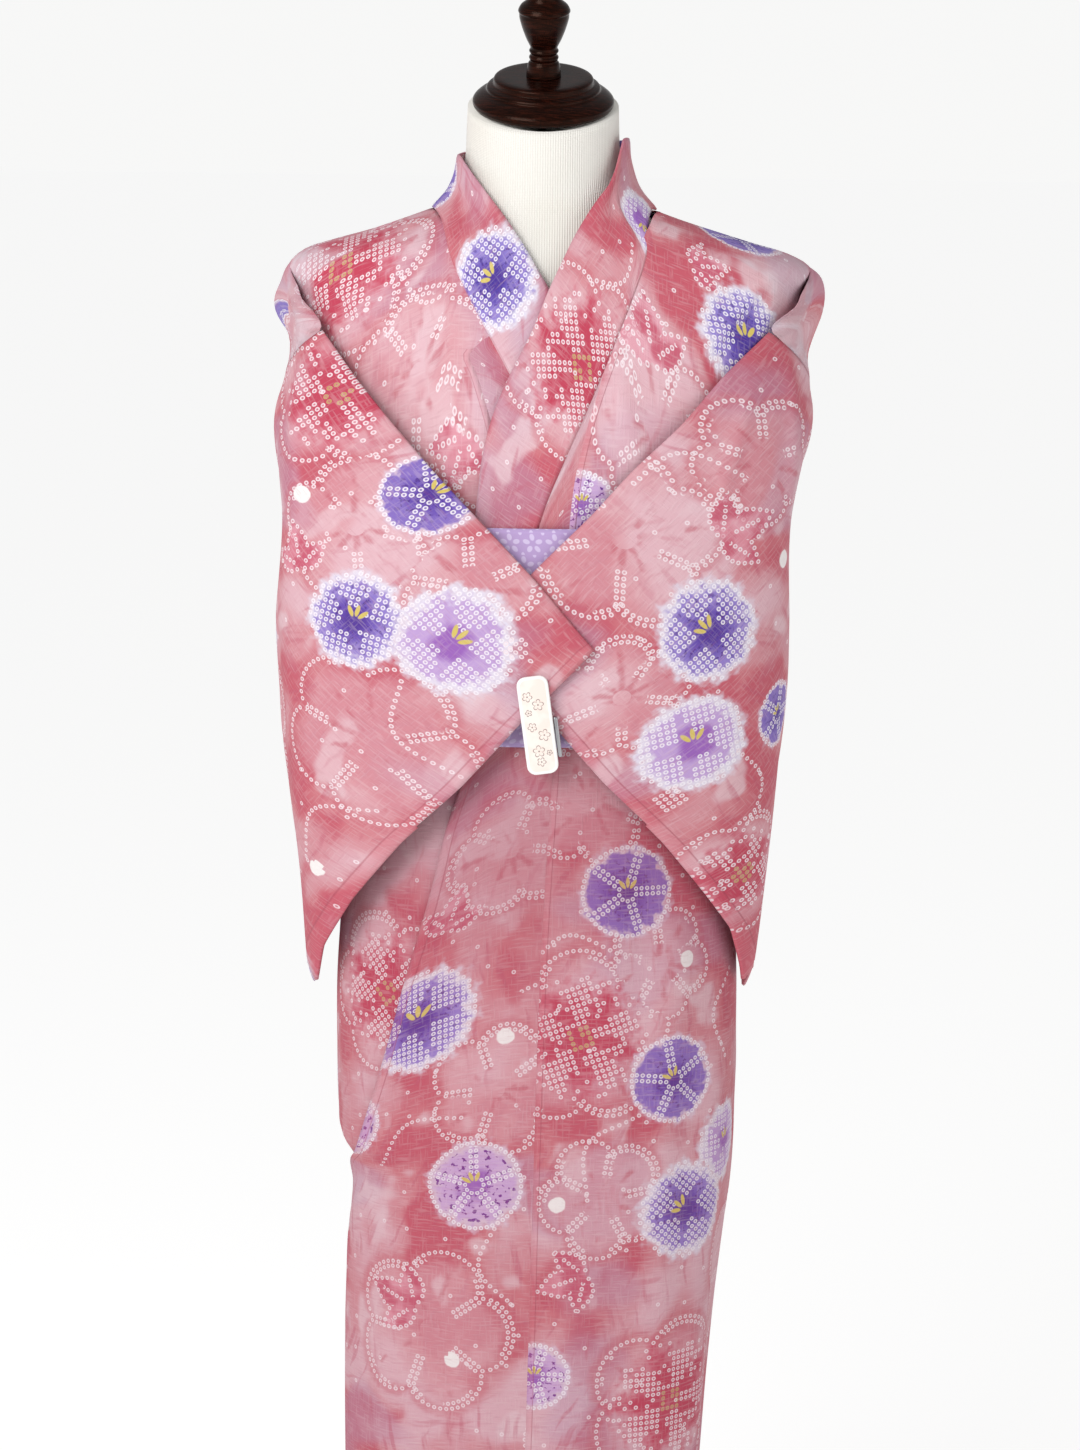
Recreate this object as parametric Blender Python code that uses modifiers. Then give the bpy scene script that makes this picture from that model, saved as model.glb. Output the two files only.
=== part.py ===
"""A cotton yukata robe on a limbless dress form, its two sleeves laid over the front and clipped.

Metres, +Z up. The robe faces -Y and +X is on the viewer's right. The origin is the middle of
the base's underside. "turn" is an angle round the body in degrees: 0 is the middle of the
front, 90 the +X side, -90 the -X side and 180 the middle of the back.
"""
import math

import bmesh
import bpy
import numpy as np
from mathutils import Matrix, Vector

# ---------------------------------------------------------------- driving dimensions
CLOTH = 0.0012            # wall of the robe's cloth
COLLAR_CLOTH = 0.0018     # the collar is folded, so its wall is thicker
BELT_CLOTH = 0.0016
SEAM = 0.0004             # space left between two pieces at a seam
LAYER = 0.0026            # from the middle of one layer of a sleeve to the other
LAP = 0.0038              # how far the lapped-over front stands off the under front
SIDE_LAP = 0.0034         # and how much further where it bends round the side
SINK = 0.0014             # how far the hidden lap of the under front lies in from the skin
SHOULDER_Z = 1.360        # height of the shoulder tips
HEM_Z = 0.080
NECK_Z = 1.404            # height of the neck seam at the sides and back
ARMHOLE_LENGTH = 0.184    # seam from the shoulder fold down to the end of the armhole
SLEEVE_WIDTH = 0.348      # from the armhole seam to the cuff
SLEEVE_LENGTH = 0.450     # from the top fold to the bottom edge
SLEEVE_DROP = 0.070       # cloth of the body beyond the shoulder tip, up to the sleeve
BELT_TOP_Z = 1.150
BELT_BOTTOM_Z = 0.968
COLLAR_END_Z = 1.020
TORSO_BOTTOM_Z = 0.720
CAP_BOTTOM_Z = 1.490      # at the neck's axis
NECK_LEAN = math.radians(18.0)   # forward slant of the neck's top and of the cap on it
NECK_LEAN_Z = 1.400       # the slant grows from this height up
BASE_HEIGHT = 0.034
BASE_RADIUS = 0.170
POLE_RADIUS = 0.0125
FALL = 1.02               # height lost for each metre along the sleeve's side fold
SLEEVE_LIFT = 2 * LAYER   # the sleeve's outer layer off the skin at the armhole's end
PULL = 0.72               # how far the armhole's end is drawn in from the wrap to the skin
TUCK = LAYER + 0.0028     # the front panel's armhole edge, inside the sleeve's outer layer
OKUMI_TOP_Z = 1.295       # the okumi's point, where the collar's seam meets the okumi's
OKUMI_TIP_WIDTH = 0.0018  # width of the okumi's blunt point
NECK_RISE = 0.0016        # the collar stands up from the neck seam, clear of the panels' wall
CUFF_OPENING = 0.230      # the hand's opening, from the top fold down; the cuff is sewn below it
BELT_OFF = LAP + 0.0046   # the belt's first turn off the skin
BELT_LAP = LAYER + 0.0002  # and how much further its lapped end
BELT_END_TURN = 24.0      # each end reaches this far past the middle of the back
CLIP_TILT = math.radians(8.0)
CLIP_CENTRE = Vector((0.0010, 0.0, 0.990))
CLIP_LENGTH = 0.082
CLIP_WIDTH = 0.026
CLIP_FACE = 0.0034        # thickness of the clip's front plate
CLIP_BACK = 0.0014        # and of its back plate
UNDER_SLEEVE_LIFT = 2.3 * LAYER   # the -X sleeve lies over the +X one in front
OVER, UNDER = 1, -1       # the +X half laps over the -X half
HALF_TURN = 180.0
SQRT_HALF = math.sqrt(0.5)

# ---------------------------------------------------------------- where the rows and columns lie
NECK_LEVELS = (1.404, 1.396, 1.387, 1.378, 1.370, 1.360, 1.338)
WAIST_LEVELS = (1.150, 1.110, 1.060, 1.020, 0.965)
SKIRT_LEVELS = (0.930, 0.895, 0.850, 0.800, 0.745, 0.690, 0.632, 0.608, 0.588, 0.565)
LOW_LEVELS = (0.530, 0.470, 0.400, 0.300, 0.190, HEM_Z)
TIP_ROW = 5               # the shoulder tip's row in these levels
TIP_GAP = 0.004           # between front and back panel at the shoulder's tip
ARMHOLE_STEPS = (0.0, 0.0233, 0.0467, 0.070, 0.098, 0.127, 0.156, ARMHOLE_LENGTH)
TIP_INSETS = (0.0, 0.036, 0.028, 0.018, 0.011, 0.005)
SLEEVE_ACROSS = (0.0, 0.022, 0.046, 0.070, 0.096, 0.124, 0.152, 0.180, 0.208, 0.236, 0.264, 0.292,
                 0.320, SLEEVE_WIDTH)
SLEEVE_BELOW = (0.214, 0.240, 0.268, 0.296, 0.324, 0.352, 0.380, 0.406, 0.430, SLEEVE_LENGTH)
FRONT_CELLS, BACK_CELLS, FLAP_CELLS, OKUMI_CELLS, COLLAR_CELLS = 7, 8, 2, 6, 3
BELT_ROWS, BELT_COLUMNS = 4, 48
FORM_COLUMNS = 32


def table(columns, *rows):
    """A small table as arrays, one for each named column."""
    return {name: np.array(values) for name, values in zip(columns.split(), zip(*rows))}


FORM = table(
    "z plus minus front back power",
    (0.720, 0.146, 0.146, 0.098, 0.098, 2.3),
    (0.790, 0.158, 0.158, 0.106, 0.106, 2.3),
    (0.860, 0.156, 0.156, 0.104, 0.106, 2.3),
    (0.950, 0.140, 0.140, 0.099, 0.096, 2.3),
    (1.050, 0.126, 0.126, 0.095, 0.084, 2.3),
    (1.130, 0.130, 0.130, 0.099, 0.084, 2.3),
    (1.200, 0.148, 0.148, 0.110, 0.090, 2.3),
    (1.260, 0.168, 0.168, 0.099, 0.094, 2.2),
    (1.310, 0.184, 0.184, 0.087, 0.092, 2.1),
    (1.345, 0.186, 0.186, 0.080, 0.090, 2.0),
    (1.362, 0.168, 0.168, 0.076, 0.087, 2.0),
    (1.376, 0.138, 0.138, 0.071, 0.083, 2.0),
    (1.389, 0.108, 0.108, 0.066, 0.077, 2.0),
    (1.402, 0.086, 0.086, 0.0635, 0.070, 2.0),
    (1.420, 0.072, 0.072, 0.0630, 0.065, 2.0),
    (1.440, 0.065, 0.065, 0.0630, 0.0635, 2.0),
    (1.490, 0.0630, 0.0630, 0.0630, 0.0630, 2.0),
)
SKIN = table(
    "z plus minus front back power",
    (0.080, 0.1420, 0.1430, 0.098, 0.100, 2.3),
    (0.350, 0.1504, 0.1500, 0.103, 0.105, 2.3),
    (0.470, 0.1580, 0.1505, 0.107, 0.108, 2.3),
    (0.530, 0.1640, 0.1505, 0.109, 0.110, 2.3),
    (0.570, 0.1690, 0.1480, 0.110, 0.111, 2.3),
    (0.588, 0.1705, 0.1530, 0.111, 0.112, 2.3),
    (0.602, 0.1715, 0.1650, 0.111, 0.112, 2.3),
    (0.630, 0.1725, 0.1685, 0.112, 0.113, 2.3),
    (0.700, 0.1755, 0.1700, 0.113, 0.114, 2.3),
    (0.745, 0.1755, 0.1700, 0.113, 0.115, 2.3),
    (0.800, 0.1730, 0.1670, 0.113, 0.115, 2.3),
    (0.860, 0.1680, 0.1630, 0.112, 0.113, 2.3),
    (0.920, 0.1580, 0.1560, 0.110, 0.108, 2.3),
    (0.965, 0.1480, 0.1480, 0.108, 0.101, 2.3),
    (1.050, 0.1410, 0.1410, 0.1070, 0.094, 2.3),
    (1.150, 0.1450, 0.1440, 0.1105, 0.094, 2.3),
    (1.170, 0.1560, 0.1540, 0.1130, 0.097, 2.3),
    (1.200, 0.1720, 0.1680, 0.117, 0.099, 2.3),
    (1.250, 0.1960, 0.1880, 0.112, 0.101, 2.2),
    (1.300, 0.2110, 0.2000, 0.100, 0.100, 2.1),
    (1.340, 0.2190, 0.2070, 0.090, 0.097, 2.0),
    (1.360, 0.2240, 0.2100, 0.083, 0.094, 2.0),
    (1.370, 0.2060, 0.1980, 0.0800, 0.092, 2.0),
    (1.378, 0.1780, 0.1740, 0.0775, 0.0895, 2.0),
    (1.387, 0.1480, 0.1420, 0.0740, 0.0860, 2.0),
    (1.396, 0.1190, 0.1160, 0.0710, 0.0810, 2.0),
    (1.404, 0.0960, 0.0940, 0.0690, 0.0770, 2.0),
    (1.420, 0.0800, 0.0790, 0.0690, 0.0730, 2.0),
    (1.440, 0.0715, 0.0715, 0.0690, 0.0705, 2.0),
    (1.470, 0.0690, 0.0690, 0.0690, 0.0695, 2.0),
)
WRAP = table(
    "z plus minus front back power",
    (0.730, 0.1860, 0.1945, 0.122, 0.125, 2.3),
    (0.760, 0.1905, 0.1965, 0.123, 0.125, 2.3),
    (0.830, 0.1980, 0.2010, 0.124, 0.124, 2.3),
    (0.900, 0.2045, 0.2080, 0.125, 0.122, 2.3),
    (0.990, 0.2105, 0.2155, 0.126, 0.116, 2.3),
    (1.070, 0.2140, 0.2200, 0.126, 0.114, 2.3),
    (1.170, 0.2250, 0.2240, 0.126, 0.113, 2.3),
    (1.220, 0.2275, 0.2215, 0.126, 0.112, 2.3),
    (1.267, 0.2265, 0.2140, 0.119, 0.110, 2.2),
    (1.293, 0.2225, 0.2095, 0.112, 0.108, 2.1),
    (1.309, 0.2215, 0.2110, 0.108, 0.107, 2.1),
    (1.330, 0.2280, 0.2135, 0.102, 0.104, 2.0),
    (1.360, 0.2320, 0.2140, 0.090, 0.099, 2.0),
)
FLAP_EDGE = {
    UNDER: table(
        "down x z",
        (0.0000, -0.2126, 1.358),
        (0.0451, -0.1855, 1.310),
        (0.0846, -0.1526, 1.269),
        (0.1549, -0.0887, 1.197),
        (0.2397, -0.0064, 1.111),
        (0.2956, 0.0457, 1.051),
        (0.3627, -0.0134, 0.990),
        (0.4199, -0.0618, 0.936),
        (0.4754, -0.1127, 0.887),
        (0.5271, -0.1545, 0.834),
        (0.5675, -0.1806, 0.786),
        (0.6000, -0.1910, 0.739),
        (0.6300, -0.1915, 0.732),
    ),
    OVER: table(
        "down x z",
        (0.0000, 0.2298, 1.352),
        (0.0477, 0.1922, 1.309),
        (0.0867, 0.1528, 1.274),
        (0.1245, 0.1176, 1.235),
        (0.1643, 0.0773, 1.197),
        (0.1988, 0.0445, 1.161),
        (0.2490, -0.0064, 1.110),
        (0.2956, -0.0473, 1.057),
        (0.3682, 0.0132, 0.989),
        (0.4170, 0.0543, 0.942),
        (0.4757, 0.1072, 0.889),
        (0.5222, 0.1450, 0.841),
        (0.5529, 0.1678, 0.807),
        (0.5808, 0.1781, 0.770),
        (0.6000, 0.1833, 0.740),
        (0.6300, 0.1838, 0.733),
    ),
}
COLLAR_SEAM = {
    UNDER: table(
        "z x",
        (1.020, 0.060),
        (1.154, 0.040),
        (1.200, 0.018),
        (1.249, -0.010),
        (1.314, -0.0468),
        (1.360, -0.0710),
        (1.396, -0.0860),
        (1.404, -0.0925),
    ),
    OVER: table(
        "z x",
        (1.020, -0.030),
        (1.156, 0.0014),
        (1.195, 0.0159),
        (1.238, 0.0345),
        (1.310, 0.0644),
        (1.376, 0.0877),
        (1.396, 0.0925),
        (1.404, 0.0945),
    ),
}
COLLAR_EDGE = {
    UNDER: table(
        "z x",
        (1.020, 0.100),
        (1.160, 0.088),
        (1.250, 0.058),
        (1.310, 0.027),
        (1.344, 0.0060),
        (1.384, -0.0186),
        (1.405, -0.0337),
        (1.425, -0.0498),
        (1.449, -0.0690),
    ),
    OVER: table(
        "z x",
        (1.020, -0.060),
        (1.154, -0.0520),
        (1.217, -0.0449),
        (1.260, -0.0313),
        (1.310, -0.0069),
        (1.344, 0.0068),
        (1.387, 0.0279),
        (1.407, 0.0384),
        (1.430, 0.0564),
        (1.464, 0.0685),
    ),
}
OKUMI_SEAM = table(
    "z x",
    (0.080, -0.012),
    (0.350, -0.003),
    (0.600, 0.0015),
    (0.780, 0.0055),
    (0.943, 0.0136),
    (1.156, 0.0255),
    (1.195, 0.0300),
    (1.377, 0.0886),
)
OVER_FRONT_EDGE = table(
    "z turn",
    (0.080, -106.0),
    (0.350, -100.0),
    (0.470, -95.0),
    (0.550, -88.0),
    (0.587, -76.0),
    (0.608, -58.0),
    (0.632, -52.6),
    (0.661, -47.0),
    (0.700, -42.3),
    (0.765, -34.4),
    (0.805, -30.7),
    (0.852, -26.9),
    (0.894, -24.1),
    (0.934, -20.2),
    (0.960, -18.0),
    (1.020, -7.0),
)
UNDER_FRONT_EDGE = table(
    "z turn",
    (0.080, 62.0),
    (0.600, 50.0),
    (0.940, 36.0),
    (1.020, 16.0),
)


# ---------------------------------------------------------------- curves and sections
def read(rows, column, at, key="z"):
    """A column of a table at one place, on a smooth curve that never overshoots its rows."""
    places, values = rows[key], rows[column]
    at = min(max(at, places[0]), places[-1])
    index = int(min(max(np.searchsorted(places, at) - 1, 0), len(places) - 2))
    slopes = np.diff(values) / np.diff(places)

    def tangent(row):
        if row == 0:
            return slopes[0]
        if row == len(places) - 1:
            return slopes[-1]
        before, after = slopes[row - 1], slopes[row]
        if before * after <= 0:
            return 0.0
        return 2 * before * after / (before + after)

    width = places[index + 1] - places[index]
    t = (at - places[index]) / width
    start, end = values[index], values[index + 1]
    leaving, arriving = tangent(index) * width, tangent(index + 1) * width
    return float(
        start * (1 + 2 * t) * (1 - t) ** 2
        + leaving * t * (1 - t) ** 2
        + end * t * t * (3 - 2 * t)
        + arriving * t * t * (t - 1)
    )


def ease(value):
    """0 below 0, 1 above 1 and a smooth step between."""
    value = min(max(value, 0.0), 1.0)
    return value * value * (3 - 2 * value)


def blend(a, b, share):
    return a + (b - a) * share


def ring_point(rows, z, turn, out=0.0):
    """The point of a section at this height and turn, moved out by a distance."""
    angle = math.radians(turn)
    sine, cosine = math.sin(angle), math.cos(angle)
    half_width = read(rows, "plus" if sine > 0 else "minus", z) + out
    depth = read(rows, "front" if cosine > 0 else "back", z) + out
    power = 2 / read(rows, "power", z)
    x = math.copysign(half_width * abs(sine) ** power, sine)
    y = -math.copysign(depth * abs(cosine) ** power, cosine)
    return Vector((x, y, z))


def turn_at(rows, z, x, out=0.0):
    """The turn at which the front of a section passes through x."""
    half_width = read(rows, "plus" if x > 0 else "minus", z) + out
    share = min(abs(x) / half_width, 0.9999)
    angle = math.degrees(math.asin(share ** (read(rows, "power", z) / 2)))
    return math.copysign(angle, x)


def walk(rows, z, out, start, end):
    """Turns and the lengths walked along a section between two turns."""
    turns = np.linspace(start, end, 41)
    points = [ring_point(rows, z, turn, out) for turn in turns]
    steps = [(b - a).length for a, b in zip(points, points[1:])]
    return turns, np.concatenate(([0.0], np.cumsum(steps)))


def share_of_walk(rows, z, out, start, end, share):
    """The turn a share of the way along a section between two turns, by length."""
    turns, lengths = walk(rows, z, out, start, end)
    return float(np.interp(share * lengths[-1], lengths, turns))


# ---------------------------------------------------------------- the folded sleeve's map
def fold_place(along, down):
    """A place on the flat sleeve as lengths down and behind its side fold.

    "along" runs from the armhole seam to the cuff and "down" from the top fold. Behind the
    side fold the loose cloth hangs closer in and a little lower than it would lie flat.
    """
    held, closer, lower = 0.06, 0.65, 0.22
    drop = (along + SLEEVE_DROP + down) * SQRT_HALF
    behind = (down - along - SLEEVE_DROP) * SQRT_HALF
    loose = max(behind - held, 0.0)
    return drop + lower * loose, behind - closer * loose


def flap_limit(drop):
    """How far the flap reaches in front of the side fold at this length down it."""
    corner = (SLEEVE_WIDTH + SLEEVE_DROP) * SQRT_HALF
    return max(min(drop, 2 * corner - drop), 0.001)


def wrap_point(side, drop, behind, out):
    """A point of the sleeve's wrap round the side, "out" from its outer layer."""
    side_z = SHOULDER_Z - FALL * drop
    if behind >= 0:
        turns, lengths = walk(WRAP, side_z, out, side * 90.0, side * 200.0)
        return ring_point(WRAP, side_z, float(np.interp(behind, lengths, turns)), out)
    share = min(-behind / flap_limit(drop), 1.0)
    edge = FLAP_EDGE[side]
    z = blend(side_z, read(edge, "z", drop, "down"), share)
    edge_turn = turn_at(WRAP, z, float(np.interp(drop, edge["down"], edge["x"])), out)
    return ring_point(WRAP, z, share_of_walk(WRAP, z, out, side * 90.0, edge_turn, share), out)


def skin_like(side, point, out):
    """The place on the robe's skin beside a point of the wrap, at the same height and turn."""
    turn = math.degrees(math.atan2(point.x, -point.y))
    if side * turn < 0:
        turn += side * 360.0
    return ring_point(SKIN, point.z, turn, out)


def sleeve_surface(side, along, down):
    """A point of a sleeve's outer layer.

    Near the armhole's end the sleeve comes in from its wrap to the body. The -X sleeve lies
    over the +X one in front.
    """
    side_fold, beside, above, below = 0.06, 0.15, 0.12, 0.13
    lift = UNDER_SLEEVE_LIFT if side == UNDER else 0.0
    drop, behind = fold_place(along, down)
    point = wrap_point(side, drop, behind, lift * ease(-behind / side_fold))
    near_seam = ease(1 - along / beside)
    near_end = ease((down - SLEEVE_DROP) / above) * (1 - ease((down - ARMHOLE_LENGTH) / below))
    target = skin_like(side, point, SLEEVE_LIFT)
    return point.lerp(target, PULL * near_seam * near_end)


def sleeve_point(side, along, down, depth):
    """A point of a sleeve, "depth" inside its outer layer."""
    point = sleeve_surface(side, along, down)
    if depth == 0:
        return point
    step = 0.004
    across = sleeve_surface(side, along + step, down) - sleeve_surface(side, along - step, down)
    above, below = max(down - step, 0.0), down + step
    fall = sleeve_surface(side, along, below) - sleeve_surface(side, along, above)
    normal = across.cross(fall).normalized()
    outward = Vector((point.x, point.y, 0.0))
    return point - math.copysign(depth, normal.dot(outward)) * normal


def armhole_levels(side):
    """Heights of the outer layer's armhole seam, from the shoulder fold to its end."""
    return [sleeve_point(side, 0.0, down, 0.0).z for down in ARMHOLE_STEPS]


# ---------------------------------------------------------------- building helpers
def clear_scene():
    for thing in list(bpy.data.objects):
        bpy.data.objects.remove(thing, do_unlink=True)


def material(name, colour, roughness, metallic=0.0):
    made = bpy.data.materials.new(name)
    made.use_nodes = True
    shader = made.node_tree.nodes["Principled BSDF"]
    shader.inputs["Base Color"].default_value = (*colour, 1.0)
    shader.inputs["Roughness"].default_value = roughness
    shader.inputs["Metallic"].default_value = metallic
    return made


def add_object(name, mesh, finish, smooth=True):
    made = bpy.data.objects.new(name, mesh)
    COLLECTION.objects.link(made)
    mesh.materials.append(finish)
    for face in mesh.polygons:
        face.use_smooth = smooth
    return made


def add_grid(shell, rows, split=None):
    """Faces between neighbouring rows of points: quads, or triangles split the same way."""
    vertices = [[shell.verts.new(point) for point in row] for row in rows]
    for upper, lower in zip(vertices, vertices[1:]):
        for column in range(len(upper) - 1):
            a, b, c, d = upper[column], lower[column], lower[column + 1], upper[column + 1]
            if split == "falling":
                shell.faces.new((a, b, c))
                shell.faces.new((a, c, d))
            elif split == "rising":
                shell.faces.new((a, b, d))
                shell.faces.new((b, c, d))
            else:
                shell.faces.new((a, b, c, d))
    return vertices


def cloth_object(name, shell, wall, finish):
    """An open shell of points made into cloth with a wall."""
    bmesh.ops.remove_doubles(shell, verts=shell.verts, dist=1e-6)
    mesh = bpy.data.meshes.new(name)
    shell.to_mesh(mesh)
    shell.free()
    made = add_object(name, mesh, finish)
    solidify = made.modifiers.new("Cloth wall", "SOLIDIFY")
    solidify.thickness = wall
    solidify.offset = 0.0
    return made


def loft_object(name, rings, finish):
    """A closed solid through rings, with a cap at each end."""
    shell = bmesh.new()
    vertices = [[shell.verts.new(point) for point in ring] for ring in rings]
    for lower, upper in zip(vertices, vertices[1:]):
        for column in range(len(lower)):
            following = (column + 1) % len(lower)
            shell.faces.new((lower[column], lower[following], upper[following], upper[column]))
    shell.faces.new(list(reversed(vertices[0])))
    shell.faces.new(vertices[-1])
    mesh = bpy.data.meshes.new(name)
    shell.to_mesh(mesh)
    shell.free()
    return add_object(name, mesh, finish)


def turned_object(name, profile, finish, steps=40):
    """A profile of (radius, height) points turned about Z, from its top to its bottom."""
    mesh = bpy.data.meshes.new(name)
    points = [(radius, 0.0, height) for radius, height in profile]
    mesh.from_pydata(points, [(i, i + 1) for i in range(len(points) - 1)], [])
    made = add_object(name, mesh, finish)
    screw = made.modifiers.new("Turned", "SCREW")
    screw.steps = steps
    screw.render_steps = steps
    screw.use_merge_vertices = True
    screw.merge_threshold = 0.00005
    screw.use_smooth_shade = True
    return made


def box_object(name, size, finish, bevel=0.0):
    bpy.ops.mesh.primitive_cube_add(size=1.0)
    made = bpy.context.object
    made.name = name
    made.data.name = name
    made.data.transform(Matrix.Diagonal((*size, 1.0)))
    made.data.materials.append(finish)
    for home in list(made.users_collection):
        home.objects.unlink(made)
    COLLECTION.objects.link(made)
    if bevel:
        edge = made.modifiers.new("Rounded edges", "BEVEL")
        edge.width = bevel
        edge.segments = 3
    return made


# ---------------------------------------------------------------- body, okumi and collar
def over_lift(turn):
    """How far the lapped-over front stands off the under front, down to nothing at +X."""
    round_the_side = SIDE_LAP * ease((abs(turn) - 25.0) / 25.0)
    return (LAP + round_the_side) * (1 - ease((turn - 66.0) / 30.0))


def front_lift(side, turn):
    """The same for either front: the hidden lap of the under front lies in from the skin."""
    return over_lift(turn) if side == OVER else -SINK * ease((turn - 5.0) / 20.0)


def seam_turn(side, rows, z, mirrored=False):
    out = LAP if side == OVER else 0.0
    x = read(rows, "x", z)
    return turn_at(SKIN, z, -x if mirrored else x, out)


def okumi_turn(side, z):
    """The seam between body panel and okumi, or the collar's seam above its tip."""
    collar = seam_turn(side, COLLAR_SEAM[side], z)
    if z > OKUMI_TOP_Z:
        return collar
    okumi = seam_turn(side, OKUMI_SEAM, z, side == UNDER)
    return side * max(side * collar, side * okumi)


def collar_turn(side, z):
    """The okumi's front edge: the collar's seam, and its own edge under the collar's end."""
    if z >= COLLAR_END_Z:
        return seam_turn(side, COLLAR_SEAM[side], z)
    return read(OVER_FRONT_EDGE if side == OVER else UNDER_FRONT_EDGE, "turn", z)


def gap_turn(z, turn, distance=SEAM / 2):
    """The change of turn that moves a point by a short distance along its section."""
    step = 0.5
    length = (ring_point(SKIN, z, turn + step) - ring_point(SKIN, z, turn)).length
    return step * distance / length


def levels(side):
    """Heights of a half's rows from the neck down; the armhole's come from the sleeve."""
    return [*NECK_LEVELS, *armhole_levels(side), *WAIST_LEVELS, *SKIRT_LEVELS, *LOW_LEVELS]


def side_edge(side, row, z):
    """The two edges of the armhole on this row, and the way out to the flap's corner.

    Returns the front panel's last point, and the back panel's last points from the side
    fold out to its own edge. Below the armhole both are the side seam.
    """
    if row == TIP_ROW:
        tip = ring_point(SKIN, z, side * 90.0)
        return tip, [tip] * (FLAP_CELLS + 1)
    step = row - TIP_ROW - 2
    if step < 0:
        drop = (SHOULDER_Z - z) / FALL
        edge = [wrap_point(side, drop, -drop * k / FLAP_CELLS, 0.0) for k in range(FLAP_CELLS + 1)]
        return inset_point(side, z, TIP_INSETS[1]), edge
    down = ARMHOLE_STEPS[step]
    drop, behind = fold_place(0.0, down)
    near_end = down > 0.8 * ARMHOLE_LENGTH
    outer = sleeve_point(side, -SEAM * (4 if near_end else 1), down, 0.0)
    if behind < -1e-4:
        edge = [wrap_point(side, drop, behind * k / FLAP_CELLS, 0.0) for k in range(FLAP_CELLS)]
        return inset_point(side, z, TIP_INSETS[step + 2]), edge + [outer]
    if down == ARMHOLE_LENGTH:
        seam_end = sleeve_point(side, -2 * LAYER, down, TUCK)
        return seam_end, [seam_end] * (FLAP_CELLS + 1)
    inner = sleeve_point(side, -SEAM / 2, down, TUCK)
    return inner, [outer] * (FLAP_CELLS + 1)


def inset_point(side, z, inset):
    """A point of the front panel short of the side, under the flap."""
    turns, lengths = walk(SKIN, z, 0.0, side * 90.0, side * 20.0)
    return ring_point(SKIN, z, float(np.interp(inset, lengths, turns)))


def toward(side, z, start, end_point, cells, lift):
    """Points from a turn to an end point, drawn off the skin more and more to meet it."""
    end = skin_turn(side, end_point)
    flat = ring_point(SKIN, end_point.z, end)
    points = []
    for cell in range(cells + 1):
        share = cell / cells
        turn = share_of_walk(SKIN, z, 0.0, start, end, share)
        row_z = blend(z, end_point.z, share)
        point = ring_point(SKIN, row_z, turn, lift(turn) * (1 - share * share))
        points.append(point + (end_point - flat) * ease((share - 0.35) / 0.65))
    points[-1] = end_point
    return points


def skin_turn(side, point):
    """The turn of the skin's section that lies nearest to a point."""
    best = min(
        np.linspace(0.0, HALF_TURN, 361),
        key=lambda turn: (ring_point(SKIN, point.z, side * turn) - point).length,
    )
    return side * float(best)


def shifted(side, point, distance):
    """A point moved along its section by a distance, towards the back if that is positive."""
    turn = skin_turn(side, point)
    ahead = ring_point(SKIN, point.z, turn + side) - ring_point(SKIN, point.z, turn)
    return point + ahead.normalized() * distance


def body_panels(side, name, finish):
    """The front and the back of one length of cloth, parted at the shoulder and side seam."""
    front_rows, back_rows = [], []
    rows = levels(side)
    armhole_end = TIP_ROW + len(ARMHOLE_STEPS)
    seam_start = None
    for row, z in enumerate(rows):
        start = okumi_turn(side, z)
        start += side * gap_turn(z, start)
        if row < TIP_ROW:
            front_end = ring_point(SKIN, z, side * 90.0)
            back_ends = [front_end] * (FLAP_CELLS + 1)
        elif row <= armhole_end:
            front_end, back_ends = side_edge(side, row, z)
            seam_start = abs(skin_turn(side, front_end))
        else:
            share = ease((rows[armhole_end] - z) / 0.30)
            front_end = ring_point(SKIN, z, side * blend(seam_start, 88.0, share))
            back_ends = [front_end] * (FLAP_CELLS + 1)
        if row <= TIP_ROW or row >= armhole_end:
            back_ends = [shifted(side, point, SEAM / 2) for point in back_ends]
            front_end = shifted(side, front_end, -(TIP_GAP if row == TIP_ROW else SEAM / 2))
        lift = over_lift if side == OVER else (lambda turn: 0.0)
        front_rows.append(toward(side, z, start, front_end, FRONT_CELLS, lift))
        middle = side * HALF_TURN
        middle -= side * gap_turn(z, middle)
        back = toward(side, z, middle, back_ends[0], BACK_CELLS, lambda turn: 0.0)
        back_rows.append(list(reversed(back_ends[1:])) + list(reversed(back)))
    for part_name, rows_of_points in (("front", front_rows), ("back", back_rows)):
        shell = bmesh.new()
        add_grid(shell, [row[::side] for row in rows_of_points])
        cloth_object(name + "_" + part_name, shell, CLOTH, finish)


def okumi_lines(side):
    """(height, seam's turn, front edge's turn) of the narrow panel's rows, its tip first."""
    lines = [(z, okumi_turn(side, z), collar_turn(side, z)) for z in levels(side)]
    widths = []
    for z, seam, edge in lines:
        across = (ring_point(SKIN, z, seam) - ring_point(SKIN, z, edge)).length
        widths.append(across if side * (seam - edge) > 0 else 0.0)
    first = next(row for row, width in enumerate(widths) if width > 2 * OKUMI_TIP_WIDTH)
    share = OKUMI_TIP_WIDTH / widths[first]
    tip = tuple(blend(a, b, share) for a, b in zip(lines[first - 1], lines[first]))
    return [tip, *lines[first:]]


def okumi_panel(side, name, finish):
    """The narrow panel sewn to the front edge of a body panel, to a point at its top."""
    shell = bmesh.new()
    rows = []
    for z, start, end in okumi_lines(side):
        start -= side * gap_turn(z, start)
        end += side * gap_turn(z, end)
        points = []
        for cell in range(OKUMI_CELLS + 1):
            turn = share_of_walk(SKIN, z, 0.0, start, end, cell / OKUMI_CELLS)
            points.append(ring_point(SKIN, z, turn, front_lift(side, turn)))
        rows.append(points[::-side])
    add_grid(shell, rows)
    return cloth_object(name, shell, CLOTH, finish)


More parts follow.
